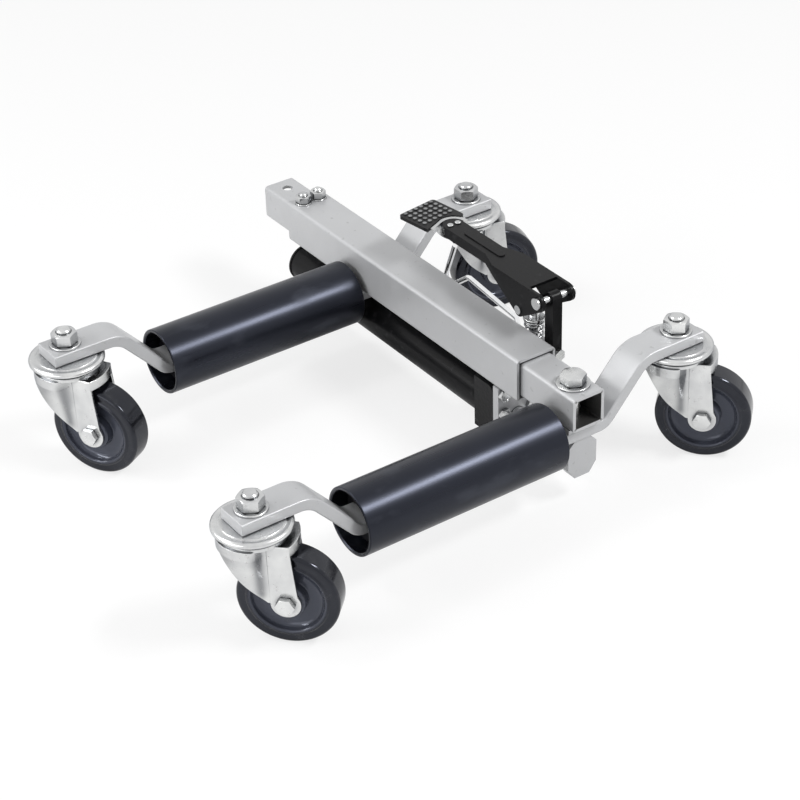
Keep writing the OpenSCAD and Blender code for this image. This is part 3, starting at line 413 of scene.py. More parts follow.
enamel = grey_enamel()
arm_low, arm_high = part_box("left_arm")
arm_top_line = arm_high.z - BAR_THICKNESS / 2
arm_low_line = arm_low.z + BAR_THICKNESS / 2
bar_width = arm_high.x - arm_low.x
near_pin = arm_low.y + BAR_END
far_pin = arm_high.y - BAR_END
slope_run = (arm_top_line - arm_low_line) / math.tan(BEND_SLOPE)
first_corner = FLAT_LENGTH + UPPER_BEND * math.tan(BEND_SLOPE / 2)
second_corner = first_corner + slope_run
for side, body in (("left", "base"), ("right", "right_carriage")):
    arm_x = middle_of(side + "_arm").x
    arm_line = line([
        (arm_x, arm_low.y, arm_top_line), (arm_x, near_pin + first_corner, arm_top_line),
        (arm_x, near_pin + second_corner, arm_low_line), (arm_x, far_pin - second_corner, arm_low_line),
        (arm_x, far_pin - first_corner, arm_top_line), (arm_x, arm_high.y, arm_top_line)])
    bar = bent_bar.made(arm_line, width=bar_width, thickness=BAR_THICKNESS, edge_radius=BAR_EDGE,
                        upper_bend=UPPER_BEND, lower_bend=LOWER_BEND,
                        middle_height=(arm_top_line + arm_low_line) / 2, material=enamel)
    piece(side + "_bar", rounded(bar, END_EDGE, 3, 60), enamel, body, "grey_paint", side + "_arm")

# Telescopic tubes: the outer sleeve is welded on the left arm, and the inner tube slides in it.
# Both are square steel tube with rounded corners, in the same enamel. Nylon lines the sleeve's mouths.
SLEEVE_WALL = 0.0035
SLEEVE_CORNER = 0.0045
TUBE_WALL = 0.004
TUBE_CORNER = 0.0042
BEAD_WIDTH = 0.006
BEAD_SPACING = 0.28
TUBE_END_EDGE = 0.0005


def arc(centre, radius, first, last, steps=6):
    """Points of an arc between two angles in degrees."""
    angles = [math.radians(first + (last - first) * i / steps) for i in range(steps + 1)]
    return [(centre[0] + radius * math.cos(a), centre[1] + radius * math.sin(a)) for a in angles]


def rounded_box(width, height, radius, centre=(0, 0), steps=6):
    """Outline of a rectangle with round corners."""
    x, y = width / 2 - radius, height / 2 - radius
    corners = ((x, y, 0), (-x, y, 90), (-x, -y, 180), (x, -y, 270))
    return [p for cx, cy, a in corners
            for p in arc((centre[0] + cx, centre[1] + cy), radius, a, a + 90, steps)]


def across(axis, u, v, w):
    """The point at u, v in the plane across an axis and at w along it."""
    return {"X": (w, u, v), "Y": (u, w, v), "Z": (u, v, w)}[axis]


def slab(outline, axis, low, high):
    """A plate of this outline between two heights along an axis."""
    count = len(outline)
    points = [across(axis, u, v, w) for w in (low, high) for u, v in outline]
    faces = [tuple(range(count)), tuple(range(2 * count - 1, count - 1, -1))]
    faces += [(i, (i + 1) % count, (i + 1) % count + count, i + count) for i in range(count)]
    return shape(points, faces)


def pipe(outer, inner, axis, low, high):
    """A tube whose outer and inner outlines have as many points as each other."""
    count = len(outer)
    rings = [[across(axis, u, v, w) for u, v in outline]
             for outline, w in ((outer, low), (outer, high), (inner, high), (inner, low))]
    points = [p for ring in rings for p in ring]
    faces = [(r * count + i, r * count + (i + 1) % count,
              (r + 1) % 4 * count + (i + 1) % count, (r + 1) % 4 * count + i)
             for r in range(4) for i in range(count)]
    return shape(points, faces)


def square_tube(low, high, wall, corner):
    """A square tube along X between the corners of its box."""
    centre = ((low.y + high.y) / 2, (low.z + high.z) / 2)
    width = high.y - low.y
    return pipe(rounded_box(width, width, corner, centre),
                rounded_box(width - 2 * wall, width - 2 * wall, corner * 0.5, centre), "X", low.x, high.x)


def marked(mesh, name, share):
    """Writes a share from 0 to 1 at each point of a mesh for its material to read."""
    values = mesh.attributes.new(name, "FLOAT", "POINT")
    values.data.foreach_set("value", [share(vertex.co) for vertex in mesh.vertices])


def bare_shaded_inside(mesh, low, high, wall):
    """Marks the inner wall of a square tube, which has no paint and is coloured near black as painted shade.
    """
    y, z = (low.y + high.y) / 2, (low.z + high.z) / 2
    reach = (high.y - low.y) / 2 - wall + 0.0003
    marked(mesh, "bare", lambda p: float(max(abs(p.y - y), abs(p.z - z)) < reach))


def cut(mesh, *cutters):
    """The mesh with other shapes taken out of it."""
    thing = bpy.data.objects.new("cut", mesh)
    scene.collection.objects.link(thing)
    tool = bpy.data.objects.new("cutter", joined(*cutters))
    scene.collection.objects.link(tool)
    boolean = thing.modifiers.new("cut", "BOOLEAN")
    boolean.operation = "DIFFERENCE"
    boolean.solver = "EXACT"
    boolean.object = tool
    result = evaluated(thing)
    bpy.data.objects.remove(thing)
    bpy.data.objects.remove(tool)
    return result


def lathe(profile, place=(0, 0, 0), axis=Z_AXIS, steps=64):
    """Turns a closed outline of (radius, height) points, or a rule that gives it for an angle."""
    turn = axis.to_track_quat("Z", "Y").to_matrix()
    outlines = []
    for step in range(steps):
        angle = 2 * math.pi * step / steps
        outline = profile(angle) if callable(profile) else profile
        outlines.append([Vector(place) + turn @ Vector((r * math.cos(angle), r * math.sin(angle), h))
                         for r, h in outline])
    count = len(outlines[0])
    points = [p for outline in outlines for p in outline]
    faces = [(s * count + i, s * count + (i + 1) % count,
              (s + 1) % steps * count + (i + 1) % count, (s + 1) % steps * count + i)
             for s in range(steps) for i in range(count)]
    return shape(points, faces)


def turned_bar(radius, low, high, edge=0.0005):
    """Outline of a solid round bar with chamfered ends."""
    face = radius - edge
    return [(0, low), (face, low), (radius, low + edge), (radius, high - edge), (face, high), (0, high)]


weld_bead = Rule("weld_bead", width="Float", seed="Int")
bead_line = weld_bead.add("GeometryNodeMeshToCurve", inputs={0: weld_bead.given("Geometry")})
bead_points = weld_bead.add("GeometryNodeResampleCurve", {"mode": "LENGTH"}, {
    "Curve": bead_line, "Length": weld_bead.given("width") * BEAD_SPACING})
bead_drop = weld_bead.add("GeometryNodeMeshUVSphere", inputs={
    "Segments": 12, "Rings": 6, "Radius": weld_bead.given("width") / 2})
bead_size = weld_bead.add("FunctionNodeRandomValue", {"data_type": "FLOAT"},
                          {2: 0.88, 3: 1.08, "Seed": weld_bead.given("seed")}, output=1)
bead_drops = weld_bead.add("GeometryNodeInstanceOnPoints", inputs={
    "Points": bead_points, "Instance": bead_drop, "Scale": bead_size})
weld_bead.end(bead_drops)

sleeve_low, sleeve_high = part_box("outer_sleeve")
tube_middle_y = middle_of("outer_sleeve").y
sleeve = rounded(square_tube(sleeve_low, sleeve_high, SLEEVE_WALL, SLEEVE_CORNER), TUBE_END_EDGE, 2, 60)
bead_reach = bar_width / 2 - BEAD_WIDTH / 2
left_arm_x = middle_of("left_arm").x
bead_height = sleeve_low.z + 0.0005
sleeve_welds = [weld_bead.made(
    line([(left_arm_x + s * bead_reach, y, bead_height) for s in (-1, 1)]),
    width=BEAD_WIDTH, seed=seed, material=enamel)
    for seed, y in enumerate((sleeve_low.y + 0.001, sleeve_high.y - 0.001))]
bare_shaded_inside(sleeve, sleeve_low, sleeve_high, SLEEVE_WALL)
piece("sleeve_tube", joined(sleeve, *sleeve_welds), enamel, "base", "grey_paint", "outer_sleeve")

tube_low, tube_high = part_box("inner_tube")
PIN_HOLE = 0.012
PIN_HOLE_INSET = 0.019
pin_hole_place = (tube_low.x + PIN_HOLE_INSET, tube_middle_y, middle_of("inner_tube").z)
pin_hole = lathe(turned_bar(PIN_HOLE / 2, -0.05, 0.05), pin_hole_place, steps=48)
inner = cut(square_tube(tube_low, tube_high, TUBE_WALL, TUBE_CORNER), pin_hole)
sliding = rounded(inner, TUBE_END_EDGE, 2, 60)
bare_shaded_inside(sliding, tube_low, tube_high, TUBE_WALL)
piece("sliding_tube", sliding, enamel, "right_carriage", "grey_paint", "inner_tube")


def nylon():
    """Black nylon, faintly mottled."""
    finish = Finish("nylon", IOR=1.5)
    grain = finish.noise(900, 3)
    mottle = finish.spread(finish.noise(60, 3), 0.4, 0.6)
    return finish.fed(
        Base_Color=finish.mixed(mottle, (0.016, 0.016, 0.017, 1), (0.03, 0.03, 0.031, 1)),
        Roughness=finish.spread(grain, 0.3, 0.7, 0.42, 0.6),
        Normal=finish.bump(grain, 0.00004))


def repainted(material, *nodes):
    """Gives CAD nodes whose shape is right their finish."""
    for node in nodes:
        mesh = frame["nodes"][node].data
        mesh.materials.clear()
        mesh.materials.append(material)


black_nylon = nylon()
repainted(black_nylon, "sleeve_guides")

# Fasteners of the tubes: two studs with washers and nuts in the sleeve's roof, and the big bolt
# that holds the inner tube on the right arm over its packing plate. Bright zinc plate.
HEXAGON_TURN = math.radians(30)
NUT_FACE = 0.475


def bright_zinc():
    """Zinc plate: bright metal with faint clouds, drawing lines and a fine grain, and painted shade in
    sheltered corners and in the hollows of the forks.
    """
    finish = Finish("bright_zinc", Specular_Tint=(0.45, 0.46, 0.48, 1))
    clouds = finish.spread(finish.noise(38, 4), 0.35, 0.65)
    grain = finish.noise(420, 3)
    drawn = finish.noise(240, 3, (1, 1, 9))
    spots = finish.spread(finish.noise(210, 4), 0.64, 0.7)
    # Painted shade: the colour darkens in corners that ambient occlusion finds sheltered.
    open_sky = finish.add("ShaderNodeAmbientOcclusion", {"samples": 8}, {"Distance": 0.014}, output="AO")
    painted_corner_shade = finish.spread(open_sky, 0.45, 0.9, 1, 0)
    plate = finish.mixed(clouds, (0.56, 0.565, 0.57, 1), (0.70, 0.705, 0.70, 1))
    # Painted shade: the colour darkens further in the marked hollow of each fork.
    hollow = finish.marking("hollow")
    painted_hollow_shade = finish.mixed(hollow * 0.85, plate, (0.20, 0.205, 0.215, 1))
    shaded = finish.mixed(painted_corner_shade * 0.7, painted_hollow_shade, (0.14, 0.145, 0.155, 1))
    return finish.fed(
        Base_Color=finish.mixed(spots * 0.3, shaded, (0.42, 0.42, 0.41, 1)),
        Metallic=1 - spots * 0.2,
        Roughness=0.16 + clouds * 0.06 + grain * 0.08 + spots * 0.1,
        Normal=finish.bump(grain * 0.5 + drawn * 0.5, 0.00003))


def hexagon(across_flats, height, bore=0.0):
    """A nut standing on z = 0 with its corners turned off, or a bolt head where the bore is 0."""
    turned = NUT_FACE * across_flats
    hole_edge = 0.0005 if bore else 0.0

    def outline(angle):
        corner = across_flats / 2 / math.cos((angle % (2 * HEXAGON_TURN)) - HEXAGON_TURN)
        drop = (corner - turned) * math.tan(HEXAGON_TURN)
        hole = bore / 2
        return [(hole + hole_edge, 0), (turned, 0), (corner, drop), (corner, height - drop), (turned, height),
                (hole + hole_edge, height), (hole, height - hole_edge), (hole, hole_edge)]
    return lathe(outline, steps=72)


def washer(diameter, bore, thickness):
    """A pressed washer on z = 0 with a rounded rim."""
    rim = arc((diameter / 2 - thickness * 0.35, thickness * 0.65), thickness * 0.35, 0, 90, 4)
    return lathe([(bore / 2, 0), (diameter / 2 - thickness * 0.2, 0), (diameter / 2, thickness * 0.2), *rim,
                  (bore / 2, thickness)])


THREAD_SIDES = 5
M10_PITCH = 0.0015
M10_NUT = 0.008
M16_PITCH = 0.002
coil = Rule("coil", radius="Float", wire="Float", turns="Float", rise="Float", end_rise="Float",
            steps="Int", sides="Int")
coil_steps = coil.given("steps")
coil_points = coil.add("GeometryNodeMeshLine", inputs={
    "Count": coil.given("turns") * coil_steps + 1, "Offset": (0, 0, 0.001)})
coil_turn = coil.add("GeometryNodeInputIndex") / coil_steps
coil_angle = coil_turn * (2 * math.pi)
first_turn = coil.add("ShaderNodeMath", {"operation": "MINIMUM"}, {0: coil_turn, 1: 1.0})
last_turn = coil.add("ShaderNodeMath", {"operation": "MAXIMUM"}, {
    0: coil_turn - coil.given("turns") + 1, 1: 0.0})
middle_turns = coil_turn - first_turn - last_turn
coil_height = (first_turn + last_turn) * coil.given("end_rise") + middle_turns * coil.given("rise")
coil_place = coil.add("ShaderNodeCombineXYZ", inputs={
    "X": coil.add("ShaderNodeMath", {"operation": "COSINE"}, {0: coil_angle}) * coil.given("radius"),
    "Y": coil.add("ShaderNodeMath", {"operation": "SINE"}, {0: coil_angle}) * coil.given("radius"),
    "Z": coil_height})
coil_wound = coil.add("GeometryNodeSetPosition", inputs={"Geometry": coil_points, "Position": coil_place})
coil_curve = coil.add("GeometryNodeMeshToCurve", inputs={0: coil_wound})
coil_wire = coil.add("GeometryNodeCurvePrimitiveCircle", inputs={
    "Resolution": coil.given("sides"), "Radius": coil.given("wire") / 2})
coil.end(coil.add("GeometryNodeCurveToMesh", inputs={
    "Curve": coil_curve, "Profile Curve": coil_wire, "Fill Caps": True}))
coil_axis = line([(0, 0, 0), (0, 0, 1)])


def raised(mesh, height):
    """A copy of a mesh moved up."""
    return placed(mesh, Matrix.Translation((0, 0, height)))


def threaded_end(diameter, low, high, pitch, edge=0.0012):
    """A round bar along Z between two heights, whose thread is a fine coil wound round its core."""
    ridge = pitch * 0.62
    core = lathe(turned_bar(diameter / 2 - ridge * 0.45, low, high, edge), steps=48)
    turns = math.floor((high - low - 2 * edge) / pitch)
    thread = coil.made(coil_axis, radius=diameter / 2 - ridge / 2, wire=ridge, turns=float(turns),
                       rise=pitch, end_rise=pitch, steps=32, sides=THREAD_SIDES)
    return joined(core, raised(thread, low + edge))


def standing(mesh, place, axis=Z_AXIS):
    """A mesh that stands on z = 0, moved to a place with its Z along an axis."""
    turn = axis.to_track_quat("Z", "Y").to_matrix().to_4x4()
    return placed(mesh, Matrix.Translation(place) @ turn)


fasteners = Rule("fasteners", fastener="Object")
fastener_shape = fasteners.add("GeometryNodeObjectInfo", inputs={
    "Object": fasteners.given("fastener")}, output="Geometry")
fastener_points = fasteners.add("GeometryNodeMeshToPoints", inputs={"Mesh": fasteners.given("Geometry")})
fasteners.end(fasteners.add("GeometryNodeInstanceOnPoints", inputs={
    "Points": fastener_points, "Instance": fastener_shape}))


def at_each(mesh, places, material):
    """One copy of a mesh at each place, set there by Geometry Nodes."""
    spots = bpy.data.meshes.new("spots")
    spots.from_pydata([tuple(p) for p in places], [], [])
    pattern = bpy.data.objects.new("pattern", mesh)
    scene.collection.objects.link(pattern)
    copies = fasteners.made(spots, fastener=pattern, material=material)
    bpy.data.objects.remove(pattern)
    return copies


zinc = bright_zinc()
SLEEVE_STUD = 0.010
STUD_FLATS = 0.016
GUIDE_WASHER = 0.0015
guide_low, guide_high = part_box("sleeve_bolts")
washer_d = guide_high.x - guide_low.x
stud_spacing = guide_high.y - guide_low.y - washer_d
stud_x = middle_of("sleeve_bolts").x
above_roof = guide_high.z - sleeve_high.z
sleeve_stud = joined(
    threaded_end(SLEEVE_STUD, -SLEEVE_WALL, above_roof, M10_PITCH),
    washer(washer_d, SLEEVE_STUD, GUIDE_WASHER),
    raised(hexagon(STUD_FLATS, M10_NUT, SLEEVE_STUD), GUIDE_WASHER))
stud_places = [(stud_x, tube_middle_y + s * stud_spacing / 2, sleeve_high.z) for s in (-1, 1)]
piece("guide_studs", at_each(sleeve_stud, stud_places, zinc), zinc, "base", "zinc", "sleeve_bolts")

END_BOLT = 0.016
END_BOLT_FLATS = 0.024
END_WASHER = 0.0025
bolt_low, bolt_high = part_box("tube_end_bolt")
end_bolt_place = Vector((middle_of("right_arm").x, tube_middle_y, tube_high.z))
end_bolt = joined(
    washer(bolt_high.x - bolt_low.x, END_BOLT, END_WASHER),
    raised(hexagon(END_BOLT_FLATS, bolt_high.z - tube_high.z - END_WASHER), END_WASHER),
    lathe(turned_bar(END_BOLT / 2, bolt_low.z - tube_high.z, END_WASHER), steps=48))
piece("end_bolt", standing(end_bolt, end_bolt_place), zinc, "right_carriage", "zinc", "tube_end_bolt")


def softened(name, node, radius, material, body, slot, segments=3):
    """A piece with a CAD node's own shape, its sharp edges rounded: a merged copy with whole flat faces."""
    work = bmesh.new()
    work.from_mesh(frame["nodes"][node].data)
    bmesh.ops.remove_doubles(work, verts=work.verts, dist=2e-6)
    bmesh.ops.dissolve_limit(work, angle_limit=math.radians(0.6), verts=work.verts, edges=work.edges)
    mesh = bpy.data.meshes.new(node)
    work.to_mesh(mesh)
    work.free()
    return piece(name, rounded(mesh, radius, segments), material, body, slot, node)


softened("packing_plate", "right_packing_plate", 0.0005, enamel, "right_carriage", "grey_paint", 2)

# Rollers: steel tubes in glossy blue-black enamel, open at both ends, that turn freely on the arms.
# Black bushes sit back inside their ends and run on round journals slotted over the bar.
ROLLER_WALL = 0.004
ROLLER_EDGE = 0.0012
BUSH_LENGTH = 0.012
JOURNAL_SHOULDER = 0.004
BUSH_EDGE = 0.0005
BUSH_FIT = 0.00005


def roller_enamel():
    """Blue-black gloss enamel with long drawing lines, scuffs from tyres and a little dust."""
    finish = Finish("roller_enamel", Specular_IOR_Level=0.38,
                                           Specular_Tint=(0.72, 0.78, 1.0, 1))
    lines = finish.noise(260, 3, (1, 40, 1))
    scuffs = finish.spread(finish.noise(42, 6, (1, 2.2, 1)), 0.56, 0.7)
    dust = finish.spread(finish.noise(16, 3), 0.3, 0.8)
    paint = finish.mixed(dust, (0.003, 0.0033, 0.005, 1), (0.007, 0.0077, 0.011, 1))
    return finish.fed(
        Base_Color=finish.mixed(scuffs * 0.3, paint, (0.05, 0.054, 0.066, 1)),
        Roughness=finish.spread(lines, 0.3, 0.7, 0.27, 0.31) + scuffs * 0.08,
        Normal=finish.bump(lines * 0.4 + finish.noise(600, 2) * 0.2, 0.00002))


def black_enamel():
    """Black machine enamel, semi-gloss, with a fine grain and lighter rubbed places."""
    finish = Finish("black_enamel", Specular_IOR_Level=0.14)
    rubbed = finish.spread(finish.noise(90, 5), 0.62, 0.72)
    grain = finish.noise(700, 2)
    return finish.fed(
        Base_Color=finish.mixed(rubbed * 0.5, (0.004, 0.004, 0.0045, 1), (0.03, 0.03, 0.032, 1)),
        Roughness=0.24 + grain * 0.12 + rubbed * 0.12,
        Normal=finish.bump(grain, 0.00004))


blue_black = roller_enamel()
black = black_enamel()
for side, body, arm_body in (("left", "left_roller", "base"), ("right", "right_roller", "right_carriage")):
    low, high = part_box(side + "_roller")
    middle = Vector(((low.x + high.x) / 2, 0, (low.z + high.z) / 2))
    outer = (high.x - low.x) / 2
    bore = outer - ROLLER_WALL
    edge = ROLLER_EDGE
    near_end = [(bore, low.y + edge), (bore + edge, low.y),
                *arc((outer - edge, low.y + edge), edge, -90, 0, 4)]
    far_end = [*arc((outer - edge, high.y - edge), edge, 0, 90, 4),
               (bore + edge, high.y), (bore, high.y - edge)]
    tube = lathe(near_end + far_end, middle, Y_AXIS, 160)
    piece(side + "_roller_tube", tube, blue_black, body, "roller_black", side + "_roller")
    journal_low, journal_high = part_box(side + "_roller_journals")
    bush_low, bush_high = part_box(side + "_roller_bushes")
    journal_r = (journal_high.x - journal_low.x) / 2 - JOURNAL_SHOULDER
    bushes = []
    for start, out in ((bush_low.y, -1), (bush_high.y - BUSH_LENGTH, 1)):
        face = start if out < 0 else start + BUSH_LENGTH
        end = start + BUSH_LENGTH
        ring = [(journal_r + BUSH_FIT, start), (journal_r + BUSH_FIT, end), (bore - BUSH_EDGE, end),
                (bore, end - BUSH_EDGE), (bore, start + BUSH_EDGE), (bore - BUSH_EDGE, start)]
        bushes.append(lathe(ring, middle, Y_AXIS, 96))
        lip = [(journal_r + 0.0022, face), (journal_r + 0.0038, face + out * 0.0008),
               (journal_r + 0.0056, face)]
        bushes.append(lathe(lip, middle, Y_AXIS, 96))
    piece(side + "_bush_pair", joined(*bushes), black_nylon, body, "nylon", side + "_roller_bushes")
    softened(side + "_journals", side + "_roller_journals", 0.0006, black, arm_body, "pump_black", 2)

# Swivel casters: an upper race with a rolled rim, a pressed fork whose crown flares down into two legs,
# a hard black wheel on a spacer tube, an axle bolt with its nut, and the swivel pin with washer and nut.
# The pressings and bolts are bright zinc, the wheel is moulded phenolic.
TRAIL = 0.033
AXLE = 0.010
FORK_GAP = 0.036
LEG_THICKNESS = 0.0035
LEG_FACE = FORK_GAP / 2 + LEG_THICKNESS
LEG_END = 0.015
STRIP_FRONT = 0.017
STRIP_BACK = 0.039
CROWN_RADIUS = 0.036
CROWN_ROOM = 0.0054
CROWN_STEP = 0.003
LIP_REACH = 0.0448
SKIN = 0.0024
WEB_FRONT = -0.028
WEB_BOW = 0.0056
WEB_BOW_SHIFT = 1.6
WEB_FALL = 1.2
HOLLOW_START = 0.006
HOLLOW_CENTRE = 0.0105
HOLLOW_WIDTH = 0.0045
WHEEL_WIDTH = 0.032
BUSH_RADIUS = 0.010
HUB_RADIUS = 0.0162
DISH_DEPTH = 0.0088
DISH_EDGE = 0.0281
DISH_CURVE = 0.008
DISH_FADE_START = 0.0365
DISH_FADE_END = 0.0395
BEAD_PLACE = 0.0387
BEAD_RADIUS = 0.003
BAND_DROP = 0.0016
TREAD_SHOULDER = 0.0042
HUB_PLAY = 0.0003
AXLE_FLATS = 0.017
AXLE_HEAD = 0.006
AXLE_END = 0.009
SPACER_RADIUS = 0.007
KINGPIN = 0.016
PIN_BORE = KINGPIN / 2 + 0.0002
KING_WASHER = 0.0025
KING_HEAD = 0.014
KING_HEAD_EDGE = 0.0015
RACE_RIM = 0.0064


def phenolic():
    """Black moulded phenolic with a blue-tinted gloss and a lighter blue-grey dish that is painted sheen;
    mould lines turned round the hub, scuffed on the tread.
    """
    finish = Finish("phenolic", Specular_IOR_Level=0.44,
                                           Specular_Tint=(0.82, 0.86, 1.0, 1))
    scuffs = finish.spread(finish.noise(75, 5), 0.55, 0.7)
    fine = finish.noise(800, 2)
    tint = finish.spread(finish.noise(22, 2), 0.35, 0.65)
    dish = finish.marking("dish")
    band_colour = finish.mixed(tint, (0.004, 0.0042, 0.006, 1), (0.009, 0.0095, 0.012, 1))
    # Painted sheen: the dish is coloured lighter blue-grey than the tread band.
    body_colour = finish.mixed(dish, band_colour, (0.046, 0.050, 0.066, 1))
    return finish.fed(
        Base_Color=finish.mixed(scuffs * 0.25, body_colour, (0.05, 0.05, 0.05, 1)),
        Roughness=0.11 + fine * 0.04 + scuffs * 0.15,
        Normal=finish.bump(fine, 0.00004))


def wheel_outline(radius, half_width, hub_half, bush_radius):
    """Half section of a wheel from the bush to the tread, and its mirror image."""
    floor_height = half_width - DISH_DEPTH
    band = half_width - BAND_DROP
    side = [(bush_radius, hub_half), (HUB_RADIUS, hub_half), (HUB_RADIUS + 0.0014, hub_half - 0.0008),
            (HUB_RADIUS + 0.0022, hub_half - 0.0024), (HUB_RADIUS + 0.0034, floor_height + 0.0006),
            (HUB_RADIUS + 0.0053, floor_height)]
    side += arc((DISH_EDGE, floor_height + DISH_CURVE), DISH_CURVE, -90, -15, 12)
    side += arc((BEAD_PLACE, half_width - 0.00365), BEAD_RADIUS, 160, 48, 12)
    side += [(BEAD_PLACE + 0.0026, band - 0.0002), (BEAD_PLACE + 0.0037, band - 0.0003),
             (radius - TREAD_SHOULDER - 0.001, band - 0.0001)]
    side += arc((radius - TREAD_SHOULDER, band - 0.0002 - TREAD_SHOULDER), TREAD_SHOULDER, 80, 8, 7)
    side += [(radius, 0.0)]
    return side + [(r, -h) for r, h in reversed(side[:-1])]


def crown_side(x):
    """Half width of the fork's skin at a place along the trail: round in front, hollow, then flat."""
    if x < HOLLOW_START:
        return math.sqrt(max(CROWN_RADIUS ** 2 - x ** 2, 0))
    widest = math.sqrt(CROWN_RADIUS ** 2 - HOLLOW_START ** 2)
    share = min(1, (x - HOLLOW_START) / (STRIP_FRONT - HOLLOW_START))
    return LEG_FACE + (widest - LEG_FACE) * (1 + math.cos(math.pi * share)) / 2


def fork_web(side, high, low):
    """One leg's web: a thin sheet that falls from the crown's round side in to the flat strip."""
    rows, columns = 26, 30
    layers = []
    for inset in (0, SKIN):
        for i in range(rows + 1):
            t = i / rows
            bow = WEB_BOW * math.sin(math.pi * t ** WEB_BOW_SHIFT)
            front = WEB_FRONT + (STRIP_FRONT - 0.001 - WEB_FRONT) * t - bow
            for k in range(columns + 1):
                x = front + (STRIP_FRONT + 0.002 - front) * k / columns
                y = LEG_FACE - 0.0003 + (crown_side(x) - LEG_FACE) * (1 - t) ** WEB_FALL - inset
                layers.append((x, side * y, high + (low - high) * t))
    wide = columns + 1
    layer = (rows + 1) * wide
    faces = []
    for i in range(rows):
        for k in range(columns):
            a = i * wide + k
            quad = (a, a + 1, a + wide + 1, a + wide)
            faces += [quad, tuple(n + layer for n in reversed(quad))]
    border = list(range(wide)) + [i * wide + columns for i in range(1, rows + 1)]
    border += [rows * wide + k for k in range(columns - 1, -1, -1)]
    border += [i * wide for i in range(rows - 1, 0, -1)]
    faces += [(a, a + layer, b + layer, b) for a, b in zip(border, border[1:] + border[:1])]
    return shape(layers, faces)


def fork_mesh(low, high, axle_height):
    """Crown with its rear lip, lower race, two webs and two flat strips with round ends."""
    top = high - CROWN_STEP
    front = [-CROWN_RADIUS * math.cos(math.pi / 2 * i / 24) for i in range(24)]
    front += [STRIP_FRONT * i / 12 for i in range(13)]
    half = [(x, max(crown_side(x) - 0.0002, 0)) for x in front]
    corner = math.degrees(math.asin((LEG_FACE - 0.0002) / LIP_REACH))
    half += arc((0, 0), LIP_REACH, corner, 0, 12)
    outline = half + [(x, -y) for x, y in reversed(half[1:-1])]
    pin_bore = lathe([(0, low - 0.01), (PIN_BORE, low - 0.01), (PIN_BORE, high + 0.01), (0, high + 0.01)])
    plate = rounded(cut(slab(outline, "Z", low, top), pin_bore), 0.0022, 4, 40)
    lower_race = lathe([(PIN_BORE, top - 0.001), (CROWN_RADIUS - 0.0022, top - 0.001),
                        *arc((CROWN_RADIUS - 0.0034, high - 0.0012), 0.0012, 0, 90, 4), (PIN_BORE, high)],
                       steps=96)
    strip_top = top - 0.0006
    strip = [*arc((TRAIL, axle_height), LEG_END, 38, -182, 30),
             (STRIP_FRONT, strip_top), (STRIP_BACK, strip_top)]
    legs = []
    for side in (-1, 1):
        near, far = sorted((side * FORK_GAP / 2, side * LEG_FACE))
        legs.append(rounded(slab(strip, "Y", near, far), 0.0008, 3))
        legs.append(fork_web(side, low + 0.002, axle_height + 0.0005))
    return joined(plate, lower_race, *legs)


def race_profile(radius, low, high, bore):
    """Upper race: a disc with a raised middle and a rolled rim over a deep groove."""
    neck = CROWN_RADIUS - 0.0065
    rim = [*arc((radius - 0.0035, high - 0.0039), 0.0035, 90, 0, 7),
           *arc((radius - 0.0022, high - RACE_RIM + 0.0022), 0.0022, 0, -90, 5)]
    middle = [(bore, high), *arc((radius - 0.0088, high - 0.0006), 0.0006, 90, 20, 3),
              (radius - 0.0068, high - 0.0011)]
    groove = [(neck + 0.002, high - RACE_RIM), (neck, high - RACE_RIM - 0.0012), (neck, low), (bore, low)]
    return middle + rim + groove


def falling(value, full, none):
    """1 up to one value, 0 from another, and smooth between them."""
    share = min(1, max(0, (value - full) / (none - full)))
    return 1 - share * share * (3 - 2 * share)


def valley(point, axle_height, crown_low):
    """How deep a point of the fork lies in the hollow that the press leaves beside the flat strip."""
    along_trail = math.exp(-((point.x - HOLLOW_CENTRE) / HOLLOW_WIDTH) ** 2)
    above_axle = falling(-point.z, -axle_height - 0.012, -axle_height)
    return along_trail * above_axle * falling(point.z, crown_low, crown_low + 0.004)


